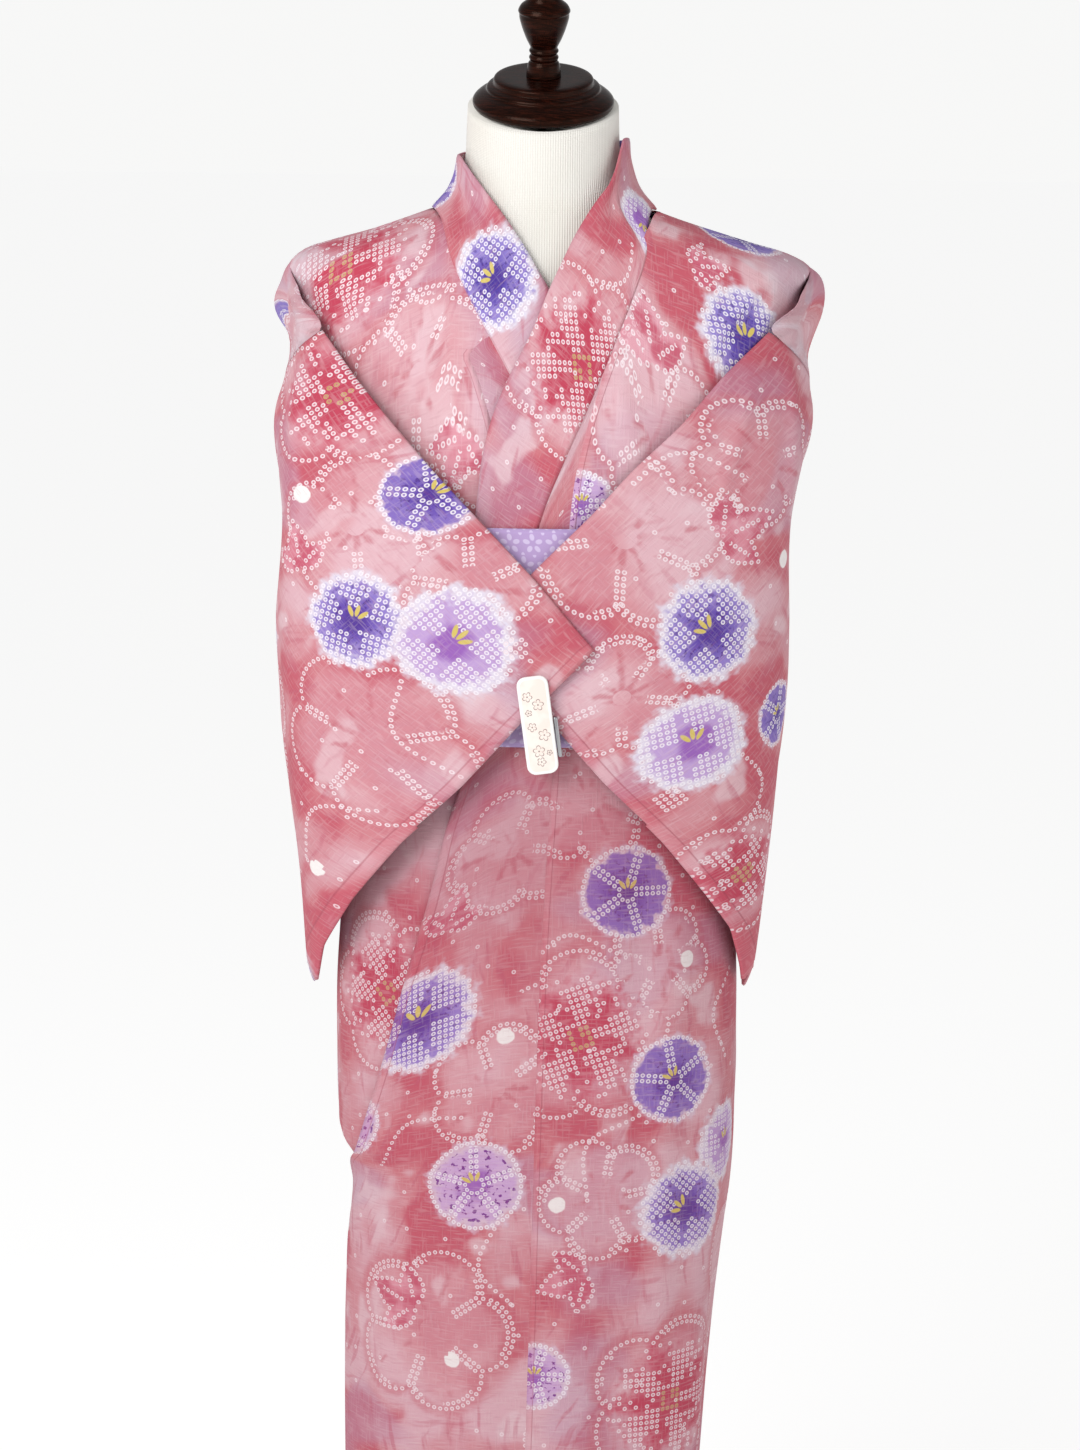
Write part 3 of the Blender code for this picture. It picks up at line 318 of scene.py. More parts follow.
SLEEVE_CREASES = {
    UNDER: table(
        "u1 v1 u2 v2 wide high",
        (0.01, 0.02, 0.12, 0.095, 0.006, 0.003), (0.004, 0.05, 0.09, 0.15, 0.0075, 0.0034),
        (0.03, 0.01, 0.15, 0.05, 0.006, 0.0022), (0.06, 0.15, 0.15, 0.3, 0.012, 0.0036),
        (0.13, 0.17, 0.23, 0.3, 0.011, 0.003), (0.04, 0.23, 0.11, 0.39, 0.013, 0.004),
        (0.2, 0.25, 0.29, 0.39, 0.012, 0.0028), (0.12, 0.33, 0.2, 0.44, 0.011, 0.003),
        (0.23, 0.08, 0.31, 0.19, 0.011, 0.0018),
    ),
    OVER: table(
        "u1 v1 u2 v2 wide high",
        (0.008, 0.022, 0.11, 0.11, 0.006, 0.0032), (0.004, 0.052, 0.08, 0.165, 0.0075, 0.0036),
        (0.034, 0.008, 0.16, 0.06, 0.006, 0.0024), (0.07, 0.14, 0.17, 0.31, 0.012, 0.0036),
        (0.05, 0.24, 0.13, 0.4, 0.013, 0.0042), (0.15, 0.18, 0.23, 0.33, 0.012, 0.0024),
        (0.13, 0.35, 0.21, 0.445, 0.011, 0.003),
    ),
}


# ---- the folded sleeve's map
def fold_place(along, down):
    """A place on the flat sleeve as lengths down and behind its side fold."""
    held, closer, lower = 0.06, 0.65, 0.22
    drop = (along + SLEEVE_DROP + down) * SQRT_HALF
    behind = (down - along - SLEEVE_DROP) * SQRT_HALF
    loose = np.maximum(behind - held, 0.0)
    return drop + lower * loose, behind - closer * loose


def flap_limit(drop):
    """How far the flap reaches in front of the side fold at this length down it."""
    corner = (SLEEVE_WIDTH + SLEEVE_DROP) * SQRT_HALF
    return np.maximum(np.minimum(drop, 2 * corner - drop), 0.001)


def wrap_point(side, drop, behind, out):
    """Points of the sleeve's wrap round the side, "out" from its outer layer."""
    drop, behind, out = np.broadcast_arrays(np.asarray(drop, float), behind, out)
    side_z = SHOULDER_Z - FALL * drop
    back_length, past_back = np.maximum(behind, 0.0), 200.0
    back_turn = turn_along(
        WRAP, side_z, out, side * SIDE_TURN, side * past_back, length=back_length
    )
    back = ring_point(WRAP, side_z, back_turn.reshape(side_z.shape), out)
    share = np.clip(-behind / flap_limit(drop), 0.0, 1.0)
    edge = FLAP_EDGE[side]
    z = blend(side_z, read(edge, "z", drop, "down"), share)
    edge_turn = turn_at(WRAP, z, np.interp(drop, edge["down"], edge["x"]), out)
    front_turn = turn_along(WRAP, z, out, side * SIDE_TURN, edge_turn, share=share)
    front = ring_point(WRAP, z, front_turn.reshape(z.shape), out)
    return np.where((behind >= 0)[..., None], back, front)


def skin_like(side, point, out):
    """The places on the robe's skin beside points of the wrap, at the same height and turn."""
    turn = np.degrees(np.arctan2(point[..., 0], -point[..., 1]))
    turn = np.where(side * turn < 0, turn + side * 2 * HALF_TURN, turn)
    return ring_point(SKIN, point[..., 2], turn, out)


def sleeve_surface(side, along, down):
    """Points of a sleeve's outer layer, before its creases."""
    side_fold, beside, above, below = 0.06, 0.15, 0.12, 0.13
    lift = UNDER_SLEEVE_LIFT if side == UNDER else 0.0
    drop, behind = fold_place(along, down)
    point = wrap_point(side, drop, behind, lift * ease(-behind / side_fold))
    near_seam = ease(1 - along / beside)
    near_end = ramp(down, SLEEVE_DROP, above) * (1 - ramp(down, ARMHOLE_LENGTH, below))
    target = skin_like(side, point, SLEEVE_LIFT)
    return blend(point, target, (PULL * near_seam * near_end)[..., None])


def sleeve_point(side, along, down, depth, creased=True):
    """Points of a sleeve, "depth" inside its outer layer and creased with it."""
    along, down = np.broadcast_arrays(np.asarray(along, float), down)
    step, smooth_at_seam = 0.004, 0.02
    point = sleeve_surface(side, along, down)
    across = sleeve_surface(side, along + step, down) - sleeve_surface(side, along - step, down)
    above = np.maximum(down - step, 0.0)
    fall = sleeve_surface(side, along, down + step) - sleeve_surface(side, along, above)
    normal = unit(np.cross(across, fall))
    facing = np.sign(normal[..., 0] * point[..., 0] + normal[..., 1] * point[..., 1])
    normal = normal * facing[..., None]
    high = 0.0
    if creased:
        high = crease(along, down, SLEEVE_CREASES[side]) * ease(along / smooth_at_seam)
    return point + normal * np.asarray(high - depth)[..., None]


# ---- body, okumi and collar rows
def over_lift(turn):
    """How far the lapped-over front stands off the skin, down to nothing at +X."""
    from_front, to_side, ending, gone = 25.0, 25.0, 66.0, 30.0
    round_the_side = SIDE_LAP * ramp(np.abs(turn), from_front, to_side)
    return (LAP + round_the_side) * (1 - ramp(turn, ending, gone))


def front_lift(side, turn):
    """The same for either front: the hidden lap of the under front lies in from the skin."""
    lap_start, deepening = 5.0, 20.0
    return over_lift(turn) if side == OVER else -SINK * ramp(turn, lap_start, deepening)


def no_lift(turn):
    return 0.0 * turn


def seam_turn(side, rows, z, mirrored=False):
    """The turn of a front's seam at a height, read from the table of its x."""
    out = LAP if side == OVER else 0.0
    x = read(rows, "x", z)
    return float(turn_at(SKIN, z, -x if mirrored else x, out))


def okumi_turn(side, z):
    """The seam between body panel and okumi, or the collar's seam above its tip."""
    collar = seam_turn(side, COLLAR_SEAM[side], z)
    if z > OKUMI_TOP_Z:
        return collar
    okumi = seam_turn(side, OKUMI_SEAM, z, side == UNDER)
    return side * max(side * collar, side * okumi)


def collar_turn(side, z):
    """The okumi's front edge: the collar's seam, and its own edge under the collar's end."""
    if z >= COLLAR_END_Z:
        return seam_turn(side, COLLAR_SEAM[side], z)
    return float(read(OVER_FRONT_EDGE if side == OVER else UNDER_FRONT_EDGE, "turn", z))


def armhole_levels(side):
    """Heights of the outer layer's armhole seam, from the shoulder fold to its end."""
    downs = np.array(ARMHOLE_STEPS)
    return list(sleeve_point(side, np.zeros_like(downs), downs, 0.0, False)[:, 2])


def levels(side):
    """Heights of a half's rows from the neck down; the armhole's come from the sleeve."""
    return [*NECK_LEVELS, *armhole_levels(side), *WAIST_LEVELS, *SKIRT_LEVELS, *LOW_LEVELS]


def inset_point(side, z, inset):
    """A point of the front panel short of the side, under the flap."""
    near_front = 20.0
    turn = turn_along(SKIN, z, 0.0, side * SIDE_TURN, side * near_front, length=inset)[0]
    return ring_point(SKIN, z, turn)


def side_edge(side, row, z):
    """The front panel's last point, and the back panel's from the side fold to its edge."""
    if row == TIP_ROW:
        tip = ring_point(SKIN, z, side * SIDE_TURN)
        return tip, [tip] * (FLAP_CELLS + 1)
    step = row - TIP_ROW - 2
    if step < 0:
        drop = (SHOULDER_Z - z) / FALL
        edge = [wrap_point(side, drop, -drop * k / FLAP_CELLS, 0.0) for k in range(FLAP_CELLS + 1)]
        return inset_point(side, z, TIP_INSETS[1]), edge
    down = ARMHOLE_STEPS[step]
    drop, behind = fold_place(0.0, down)
    gap = SEAM * 4 if down > 0.8 * ARMHOLE_LENGTH else SEAM
    outer = sleeve_point(side, -gap, down, 0.0, False)
    if behind < -1e-4:
        edge = [wrap_point(side, drop, behind * k / FLAP_CELLS, 0.0) for k in range(FLAP_CELLS)]
        return inset_point(side, z, TIP_INSETS[step + 2]), edge + [outer]
    if down == ARMHOLE_LENGTH:
        seam_end = sleeve_point(side, -2 * LAYER, down, TUCK, False)
        return seam_end, [seam_end] * (FLAP_CELLS + 1)
    inner = sleeve_point(side, -SEAM / 2, down, TUCK, False)
    return inner, [outer] * (FLAP_CELLS + 1)


def skin_turn(side, point):
    """The turn of the skin's section that lies nearest to a point."""
    quarter_degrees = 721
    turns = np.linspace(0.0, HALF_TURN, quarter_degrees)
    distance = np.linalg.norm(ring_point(SKIN, point[2], side * turns) - point, axis=-1)
    return side * float(turns[np.argmin(distance)])


def toward(side, z, start, end_point, cells, lift):
    """Points from a turn to an end point, drawn off the skin more and more to meet it."""
    on_skin = 0.35
    end = skin_turn(side, end_point)
    flat = ring_point(SKIN, end_point[2], end)
    share = np.linspace(0.0, 1.0, cells + 1)
    turn = turn_along(SKIN, z, 0.0, start, end, share=share)
    points = ring_point(SKIN, blend(z, end_point[2], share), turn, lift(turn) * (1 - share * share))
    points = points + (end_point - flat) * ramp(share, on_skin, 1 - on_skin)[:, None]
    points[-1] = end_point
    return points


def body_rows(side):
    """Coarse rows of points of a body panel's front and of its back."""
    fronts, backs = [], []
    heights = levels(side)
    last_armhole = TIP_ROW + 1 + len(ARMHOLE_STEPS)
    skirt_seam, settling = 88.0, 0.30
    seam_start = SIDE_TURN
    lift = over_lift if side == OVER else no_lift
    for row, z in enumerate(heights):
        if row < TIP_ROW:
            front_end = ring_point(SKIN, z, side * SIDE_TURN)
            back_ends = [front_end] * (FLAP_CELLS + 1)
        elif row < last_armhole:
            front_end, back_ends = side_edge(side, row, z)
            seam_start = abs(skin_turn(side, front_end))
        else:
            share = ease((heights[last_armhole - 1] - z) / settling)
            front_end = ring_point(SKIN, z, side * blend(seam_start, skirt_seam, share))
            back_ends = [front_end] * (FLAP_CELLS + 1)
        start = okumi_turn(side, z)
        fronts.append(toward(side, z, start, front_end, FRONT_CELLS, lift))
        back = toward(side, z, side * HALF_TURN, back_ends[0], BACK_CELLS, no_lift)
        backs.append(np.concatenate((back, np.array(back_ends[1:]))))
    return np.array(fronts), np.array(backs)


def okumi_width(side, z):
    """Width of the narrow front panel between its seam and the collar's."""
    across = ring_point(SKIN, z, okumi_turn(side, z)) - ring_point(SKIN, z, collar_turn(side, z))
    return side * across[0]


def okumi_rows(side):
    """Coarse rows of points of the narrow front panel, from its seam to its front edge."""
    rows = []
    narrowest = 0.002
    heights = levels(side)
    first = next(row for row, z in enumerate(heights) if okumi_width(side, z) > narrowest)
    for z in heights[first - 1:]:
        start, end = okumi_turn(side, z), collar_turn(side, z)
        if z == heights[first - 1]:
            start = end
        share = np.linspace(0.0, 1.0, OKUMI_CELLS + 1)
        turn = turn_along(SKIN, z, 0.0, start, end, share=share)
        rows.append(ring_point(SKIN, z, turn, front_lift(side, turn)))
    return np.array(rows)


def collar_front(side):
    """(seam, z, edge, edge z, lift) of one front of the collar, from its end up to the neck."""
    rise_start, rise_length, bunching = 1.36, 0.044, 0.92
    lift = LAP if side == OVER else 0.0
    heights = [z for z in reversed(levels(side)) if z >= COLLAR_END_Z]
    edge_rows = COLLAR_EDGE[side]
    rows = []
    for z in heights:
        share = (z - heights[0]) / (heights[-1] - heights[0])
        edge_z = blend(edge_rows["z"][0], edge_rows["z"][-1], share ** bunching)
        edge = float(turn_at(SKIN, edge_z, read(edge_rows, "x", edge_z), lift))
        rising = float(ramp(z, rise_start, rise_length))
        seam = seam_turn(side, COLLAR_SEAM[side], z)
        rows.append((seam, z + NECK_RISE * rising, edge, edge_z, lift * (1 - 0.5 * rising)))
    return rows


def collar_rows():
    """Coarse rows of points of the collar, from the under front round the neck to the over one."""
    sunk_below, sinking, neck_steps = 1.25, 0.06, 8
    under, over = collar_front(UNDER), collar_front(OVER)
    rows = []
    for seam, z, edge, edge_z, lift in under:
        sunk = SINK * float(ease((sunk_below - z) / sinking))
        rows.append((seam, z, edge, edge_z, lift - sunk))
    for step in range(neck_steps + 1):
        turn = -SIDE_TURN - HALF_TURN / neck_steps * step
        share = (-SIDE_TURN - turn) / HALF_TURN
        edge_z = blend(under[-1][3], over[-1][3], share)
        lift = blend(under[-1][4], over[-1][4], share)
        rows.append((turn, NECK_Z + NECK_RISE, turn, edge_z, lift))
    for seam, z, edge, edge_z, lift in reversed(over):
        rows.append((seam - 2 * HALF_TURN, z, edge - 2 * HALF_TURN, edge_z, lift))
    share = np.linspace(0.0, 1.0, COLLAR_CELLS + 1)
    points = []
    for seam, z, edge, edge_z, lift in rows:
        points.append(ring_point(SKIN, blend(z, edge_z, share), blend(seam, edge, share), lift))
    return np.array(points)


# ---- fine grids
def refine_rows(points, spacing):
    """More rows on smooth curves through rows of points, about a spacing apart."""
    steps = np.linalg.norm(np.diff(points, axis=0), axis=-1).mean(axis=1)
    slopes = np.diff(points, axis=0) / steps[:, None, None]
    weight = (steps[1:] / (steps[1:] + steps[:-1]))[:, None, None]
    inner = slopes[:-1] * weight + slopes[1:] * (1 - weight)
    tangents = np.concatenate((slopes[:1], inner, slopes[-1:]))
    parts = [max(1, round(step / spacing)) for step in steps]
    index = np.repeat(np.arange(len(steps)), parts)
    t = np.concatenate([np.arange(part) / part for part in parts])
    index, t = np.append(index, len(steps) - 1), np.append(t, 1.0)
    return between(points, tangents, index, steps[index][:, None, None], t[:, None, None])


def refine(points, spacing):
    """A fine grid through a coarse one, both ways."""
    fine = refine_rows(points, spacing)
    return refine_rows(fine.swapaxes(0, 1), spacing).swapaxes(0, 1)


def lengths_across(points):
    """Length walked along each row of a grid, from its first column."""
    steps = np.linalg.norm(np.diff(points, axis=1), axis=-1)
    return np.concatenate((np.zeros((len(points), 1)), np.cumsum(steps, axis=1)), axis=1)


def lengths_from(points, column):
    """The same, from another column; what lies before it counts as less than 0."""
    walked = lengths_across(points)
    return walked - walked[:, column:column + 1]


def outward(points):
    """Level unit vectors from the body's axis to points."""
    return unit(points * np.array((1.0, 1.0, 0.0)))


def moved_out(points, height):
    """A grid moved away from the body's axis, level by level."""
    return points + outward(points) * height[..., None]


def tuck(points, amount, last=False):
    """A grid with one more column past an edge, sunk under the cloth that covers it."""
    edge, inner = (points[:, -1], points[:, -2]) if last else (points[:, 0], points[:, 1])
    way = edge - inner
    way = way / np.maximum(np.linalg.norm(way, axis=-1, keepdims=True), 1e-9)
    sunk = TUCK_UNDER * ease(amount / 0.002)
    strip = (edge + way * amount[:, None] - outward(edge) * sunk[:, None])[:, None]
    return np.concatenate((points, strip) if last else (strip, points), axis=1)


# ---- meshes of cloth
def plain_mesh(name, points, faces):
    mesh = bpy.data.meshes.new(name)
    mesh.from_pydata(points, [], faces)
    mesh.polygons.foreach_set("use_smooth", [True] * len(mesh.polygons))
    return mesh


def joined_mesh(mesh):
    """Joins a mesh's points that meet, and turns its faces one way."""
    shell = bmesh.new()
    shell.from_mesh(mesh)
    bmesh.ops.remove_doubles(shell, verts=shell.verts, dist=2e-6)
    bmesh.ops.recalc_face_normals(shell, faces=shell.faces)
    shell.to_mesh(mesh)
    shell.free()


def show(name, mesh, finish, nodes):
    """Links a piece, gives it its finish and hides the CAD parts that it stands for."""
    piece = bpy.data.objects.new("robe_" + name, mesh)
    bpy.context.scene.collection.objects.link(piece)
    mesh.materials.append(finish)
    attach(piece, "root")
    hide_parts(*nodes)
    return piece


def grid_faces(shape, first, flip):
    """Quads of a grid whose points start at a number, with their sides facing out."""
    rows, columns = shape
    index = first + np.arange(rows * columns).reshape(rows, columns)
    a, b, c, d = index[:-1, :-1], index[1:, :-1], index[1:, 1:], index[:-1, 1:]
    corners = (a, d, c, b) if flip else (a, b, c, d)
    return np.stack([corner.ravel() for corner in corners], -1)


class Cloth:
    """Grids of cloth gathered into one piece, each point with its place on the flat cut."""

    def __init__(self):
        # each point also carries a painted shade value for the rose cotton's shader
        self.points, self.cut, self.hem, self.tone, self.faces = [], [], [], [], []
        self.count = 0

    def add(self, points, cut, hem, tone, flip=False):
        shape = points.shape[:2]
        self.faces.append(grid_faces(shape, self.count, flip))
        self.points.append(points.reshape(-1, 3))
        self.cut.append(cut.reshape(-1, 2))
        self.hem.append(np.broadcast_to(hem, shape).ravel())
        self.tone.append(np.broadcast_to(tone, shape).ravel())
        first = self.count
        self.count += shape[0] * shape[1]
        return first + np.arange(shape[0] * shape[1]).reshape(shape)

    def add_rim(self, run_a, run_b, way):
        """A rounded fold between two runs of points, bulging the way given."""
        points, cut = np.concatenate(self.points), np.concatenate(self.cut)
        hem, tone = np.concatenate(self.hem), np.concatenate(self.tone)
        middle = (points[run_a] + points[run_b]) / 2 + unit(way) * LAYER / 2
        count = len(run_a)
        fold, far = self.count + np.arange(count), self.count + count + np.arange(count)
        self.points += [middle, points[run_b]]
        self.cut += [cut[run_a], cut[run_a]]
        self.hem += [hem[run_a], hem[run_a]]
        self.tone += [tone[run_a], tone[run_a]]
        self.count += 2 * count
        for start, end in ((run_a, fold), (fold, far)):
            self.faces.append(np.stack((start[:-1], start[1:], end[1:], end[:-1]), -1))

    def piece(self, name, wall, finish, slot_name, nodes, prints=None):
        """Makes the piece, with these motifs and others strewn over the rest of its cut."""
        points, faces = np.concatenate(self.points), np.concatenate(self.faces)
        mesh = plain_mesh(name, points.tolist(), faces.tolist())
        cut = np.concatenate(self.cut)
        corner = np.zeros(len(mesh.loops), int)
        mesh.loops.foreach_get("vertex_index", corner)
        layer = mesh.uv_layers.new(name="cut")
        layer.uv.foreach_set("vector", cut[corner].astype(np.float32).ravel())
        for key, values in (("hem", self.hem), ("tone", self.tone)):
            attribute = mesh.attributes.new(key, "FLOAT", "POINT")
            attribute.data.foreach_set("value", np.concatenate(values).astype(np.float32))
        if prints is not None:
            lay_print(mesh, cut, corner, filled(name, cut, points[:, 1], prints))
        joined_mesh(mesh)
        made = show(name, mesh, finish, nodes)
        if wall:
            solidify = made.modifiers.new("Cloth wall", "SOLIDIFY")
            solidify.thickness = wall
            solidify.offset = 0.0


# ---- the print's motifs
STAR, LILAC, VIOLET, DASHED, BLOSSOM, OUTLINE, LEAF, DISC, CLUSTER, ARC = range(1, 11)
LAYERS = {"blossom": (BLOSSOM, OUTLINE), "flower": (STAR, LILAC, VIOLET, DASHED),
          "leaf": (LEAF, DISC, CLUSTER, ARC)}
LOOK_DOWN = 0.176         # height that a point gains in the front view for each metre back


def lay_print(mesh, cut, corner, prints):
    """Gives each face the nearest motif of each layer, as coordinates from the motif's middle.

    The third value holds the motif's kind and, as its fraction, its radius in metres.
    """
    no_motif, reach = (9.0, 9.0, 0.0), 1.5
    starts = np.zeros(len(mesh.polygons), int)
    mesh.polygons.foreach_get("loop_start", starts)
    totals = np.zeros(len(mesh.polygons), int)
    mesh.polygons.foreach_get("loop_total", totals)
    centres = np.add.reduceat(cut[corner], starts) / totals[:, None]
    for layer, kinds in LAYERS.items():
        local = np.full((len(corner), 3), no_motif)
        found = [row for row in prints if row[0] in kinds]
        if found:
            kind, u, v, radius, turn = (np.array(column, float) for column in zip(*found))
            away = np.hypot(centres[:, :1] - u, centres[:, 1:] - v) / radius
            nearest = np.repeat(away.argmin(axis=1), totals)
            near = np.repeat(away.min(axis=1) < reach, totals)
            across = cut[corner, 0] - u[nearest]
            up = cut[corner, 1] - v[nearest]
            cosine, sine = np.cos(np.radians(turn[nearest])), np.sin(np.radians(turn[nearest]))
            place = (across * cosine + up * sine, up * cosine - across * sine)
            values = np.stack((*place, kind[nearest] + radius[nearest]), -1)
            local[near] = values[near]
        attribute = mesh.attributes.new(layer, "FLOAT_VECTOR", "CORNER")
        attribute.data.foreach_set("vector", local.astype(np.float32).ravel())


def placed(rows, points, cut):
    """Motifs given by where they show from the front, as places on a piece's flat cut."""
    made = []
    behind, lean, close_by = -0.02, 0.2, 0.004
    x_seen, y, z_seen = points[..., 0], points[..., 1], points[..., 2] + LOOK_DOWN * points[..., 1]
    hidden = np.maximum(y - behind, 0.0) + lean * (y - y.min())
    for kind, x, z, radius, turn in zip(*rows.values()):
        apart = np.hypot(x_seen - x, z_seen - z)
        cost = np.maximum(apart, close_by) + hidden
        row, column = np.unravel_index(np.argmin(cost), apart.shape)
        i, j = min(row, points.shape[0] - 2), min(column, points.shape[1] - 2)
        seen = [(s[i, j + 1] - s[i, j], s[i + 1, j] - s[i, j]) for s in (x_seen, z_seen)]
        steps = np.stack((cut[i, j + 1] - cut[i, j], cut[i + 1, j] - cut[i, j]))
        missing = np.array((x - x_seen[row, column], z - z_seen[row, column]))
        place = cut[row, column]
        if abs(np.linalg.det(seen)) >= 1e-9:
            place = place + np.linalg.solve(seen, missing) @ steps
        made.append((int(kind), place[0], place[1], radius, turn))
    return made


SIZES = {STAR: 0.043, LILAC: 0.043, VIOLET: 0.036, DASHED: 0.036, BLOSSOM: 0.078, OUTLINE: 0.080,
         LEAF: 0.040, DISC: 0.0078, CLUSTER: 0.013, ARC: 0.045}
FRONT_DEPTH = -0.030       # cloth farther forward than this shows in the front view
SCATTER_ORDER = (BLOSSOM, STAR, LEAF, OUTLINE, VIOLET, ARC, LILAC, OUTLINE, LEAF, DASHED, BLOSSOM,
                 ARC, DISC, STAR, CLUSTER, OUTLINE, VIOLET, LEAF, DISC, ARC)


def scattered(cut, depth, seed, taken=(), tries=900):
    """Motifs strewn over a cut, clear of those taken, of each other by layer and of the front."""
    same_layer, other_layer, heart = 0.98, 0.62, 0.7
    draw = np.random.default_rng(seed)
    low, high = cut.min(axis=0), cut.max(axis=0)
    made = list(taken)
    turn_to = 0
    for _ in range(tries):
        kind = SCATTER_ORDER[turn_to % len(SCATTER_ORDER)]
        radius = SIZES[kind] * draw.uniform(0.88, 1.12)
        u, v = draw.uniform(low[0], high[0]), draw.uniform(low[1], high[1])
        turn = draw.uniform(0.0, 360.0)
        layer = next(kinds for kinds in LAYERS.values() if kind in kinds)
        around = np.hypot(cut[:, 0] - u, cut[:, 1] - v) < heart * radius
        clear = not around.any() or depth[around].min() > FRONT_DEPTH or kind == ARC
        for other, other_u, other_v, other_radius, _turn in made:
            apart = math.hypot(u - other_u, v - other_v)
            share = same_layer if other in layer else other_layer
            if apart < share * (radius + other_radius):
                clear = False
        if clear:
            made.append((kind, u, v, radius, turn))
            turn_to += 1
    return made[len(taken):]


# ---- an algebra of shader nodes
class Wire:
    """A value carried between shader nodes; arithmetic on it adds Math nodes to the tree."""

    tree = None

    def __init__(self, socket):
        self.socket = socket

    __add__ = __radd__ = lambda self, other: calc("ADD", self, other)
    __sub__ = lambda self, other: calc("SUBTRACT", self, other)
    __rsub__ = lambda self, other: calc("SUBTRACT", other, self)
    __mul__ = __rmul__ = lambda self, other: calc("MULTIPLY", self, other)
    __truediv__ = lambda self, other: calc("DIVIDE", self, other)
    __gt__ = lambda self, other: calc("GREATER_THAN", self, other)
    __lt__ = lambda self, other: calc("LESS_THAN", self, other)
    __abs__ = lambda self: calc("ABSOLUTE", self)


def feed(socket, value):
    if isinstance(value, Wire):
        Wire.tree.links.new(value.socket, socket)
    else:
        socket.default_value = value


def node_of(kind, **settings):
    made = Wire.tree.nodes.new(kind)
    for key, value in settings.items():
        setattr(made, key, value)
    return made


def fed_node(kind, values, output=0, **settings):
    """One output of a new node whose first inputs are fed these values."""
    made = node_of(kind, **settings)
    for socket, value in zip(made.inputs, values):
        feed(socket, value)
    return Wire(made.outputs[output])


def calc(operation, *values):
    return fed_node("ShaderNodeMath", values, operation=operation)


def vector(x, y, z=0.0):
    return fed_node("ShaderNodeCombineXYZ", (x, y, z))


def split(wire):
    made = node_of("ShaderNodeSeparateXYZ")
    feed(made.inputs[0], wire)
    return [Wire(output) for output in made.outputs]


def length(x, y):
    return fed_node("ShaderNodeVectorMath", (vector(x, y),), "Value", operation="LENGTH")


def fade(value, start, end):
    """0 at start, 1 at end and a smooth step between; end may be below start."""
    values = (value, start, end)
    return fed_node("ShaderNodeMapRange", values, interpolation_type="SMOOTHSTEP")


def noise(x, y, detail=2.0, rough=0.5):
    made = node_of("ShaderNodeTexNoise", noise_dimensions="2D")
    feed(made.inputs["Vector"], vector(x, y))
    made.inputs["Scale"].default_value = 1.0
    made.inputs["Detail"].default_value = detail
    made.inputs["Roughness"].default_value = rough
    return Wire(made.outputs[0])


def chance(x, y):
    """The same random number from 0 to 1 wherever x and y are the same."""
    return fed_node("ShaderNodeTexWhiteNoise", (vector(x, y),), "Value", noise_dimensions="2D")


def linear(code):
    """A hexadecimal colour as linear red, green, blue and 1."""
    values = [int(code[k:k + 2], 16) / 255 for k in (1, 3, 5)]
    return (*[v / 12.92 if v <= 0.04045 else ((v + 0.055) / 1.055) ** 2.4 for v in values], 1.0)


def paint(below, colour, cover):
    """A colour laid over another as far as it covers."""
    made = node_of("ShaderNodeMix", data_type="RGBA")
    feed(made.inputs[0], cover)
    for socket, value in ((made.inputs[6], below), (made.inputs[7], colour)):
        feed(socket, linear(value) if isinstance(value, str) else value)
    return Wire(made.outputs[2])


def attribute(name):
    return node_of("ShaderNodeAttribute", attribute_name=name)


# ---- the resist-dot print
PITCH = 0.0050            # from one resist dot to the next in a lattice or a chain
DOT = 0.0021              # radius of a dot
FULL_TURN = 2 * math.pi


def ring_dot(x, y, size=DOT):
    """A small ring of undyed cloth round a speck of dye, as one tied dot leaves."""
    away = length(x, y)
    return fade(away, size, size * 0.76) * (1 - 0.85 * fade(away, size * 0.56, size * 0.28))


def cell_middle(along):
    """The middle of the step of the lattice or chain that a length lies in."""
    return calc("FLOOR", along / PITCH) * PITCH + PITCH / 2


def spoke_place(x, y, count):
    """Length along and distance aside from the nearest of some even spokes."""
    step = FULL_TURN / count
    angle = calc("ARCTAN2", y, x)
    off = angle - calc("ROUND", angle / step) * step
    away = length(x, y)
    return away * calc("COSINE", off), away * calc("SINE", off)


def ring_chain(x, y, mean, radius_at, shift=0.0):
    """Dots round a closed outline of a mean radius, its radius a function of the angle."""
    step = calc("DIVIDE", FULL_TURN, calc("ROUND", mean * (FULL_TURN / PITCH)))
    angle = (calc("ROUND", calc("ARCTAN2", y, x) / step - shift) + shift) * step
    radius = radius_at(angle)
    return ring_dot(x - radius * calc("COSINE", angle), y - radius * calc("SINE", angle))


def row_of_dots(along, aside):
    """A straight row of dots on the line where aside is 0."""
    return ring_dot(along - cell_middle(along), aside)


def most(*values):
    made = values[0]
    for value in values[1:]:
        made = calc("MAXIMUM", made, value)
    return made


def motif(layer):
    """Place, kind and radius of a layer's motif here, and a test for its kind."""
    x, y, code = split(Wire(attribute(layer).outputs["Vector"]))
    kind = calc("FLOOR", code)
    radius = calc("MAXIMUM", calc("FRACT", code), 0.001)
    return x, y, radius, lambda number: calc("COMPARE", kind, float(number), 0.1)


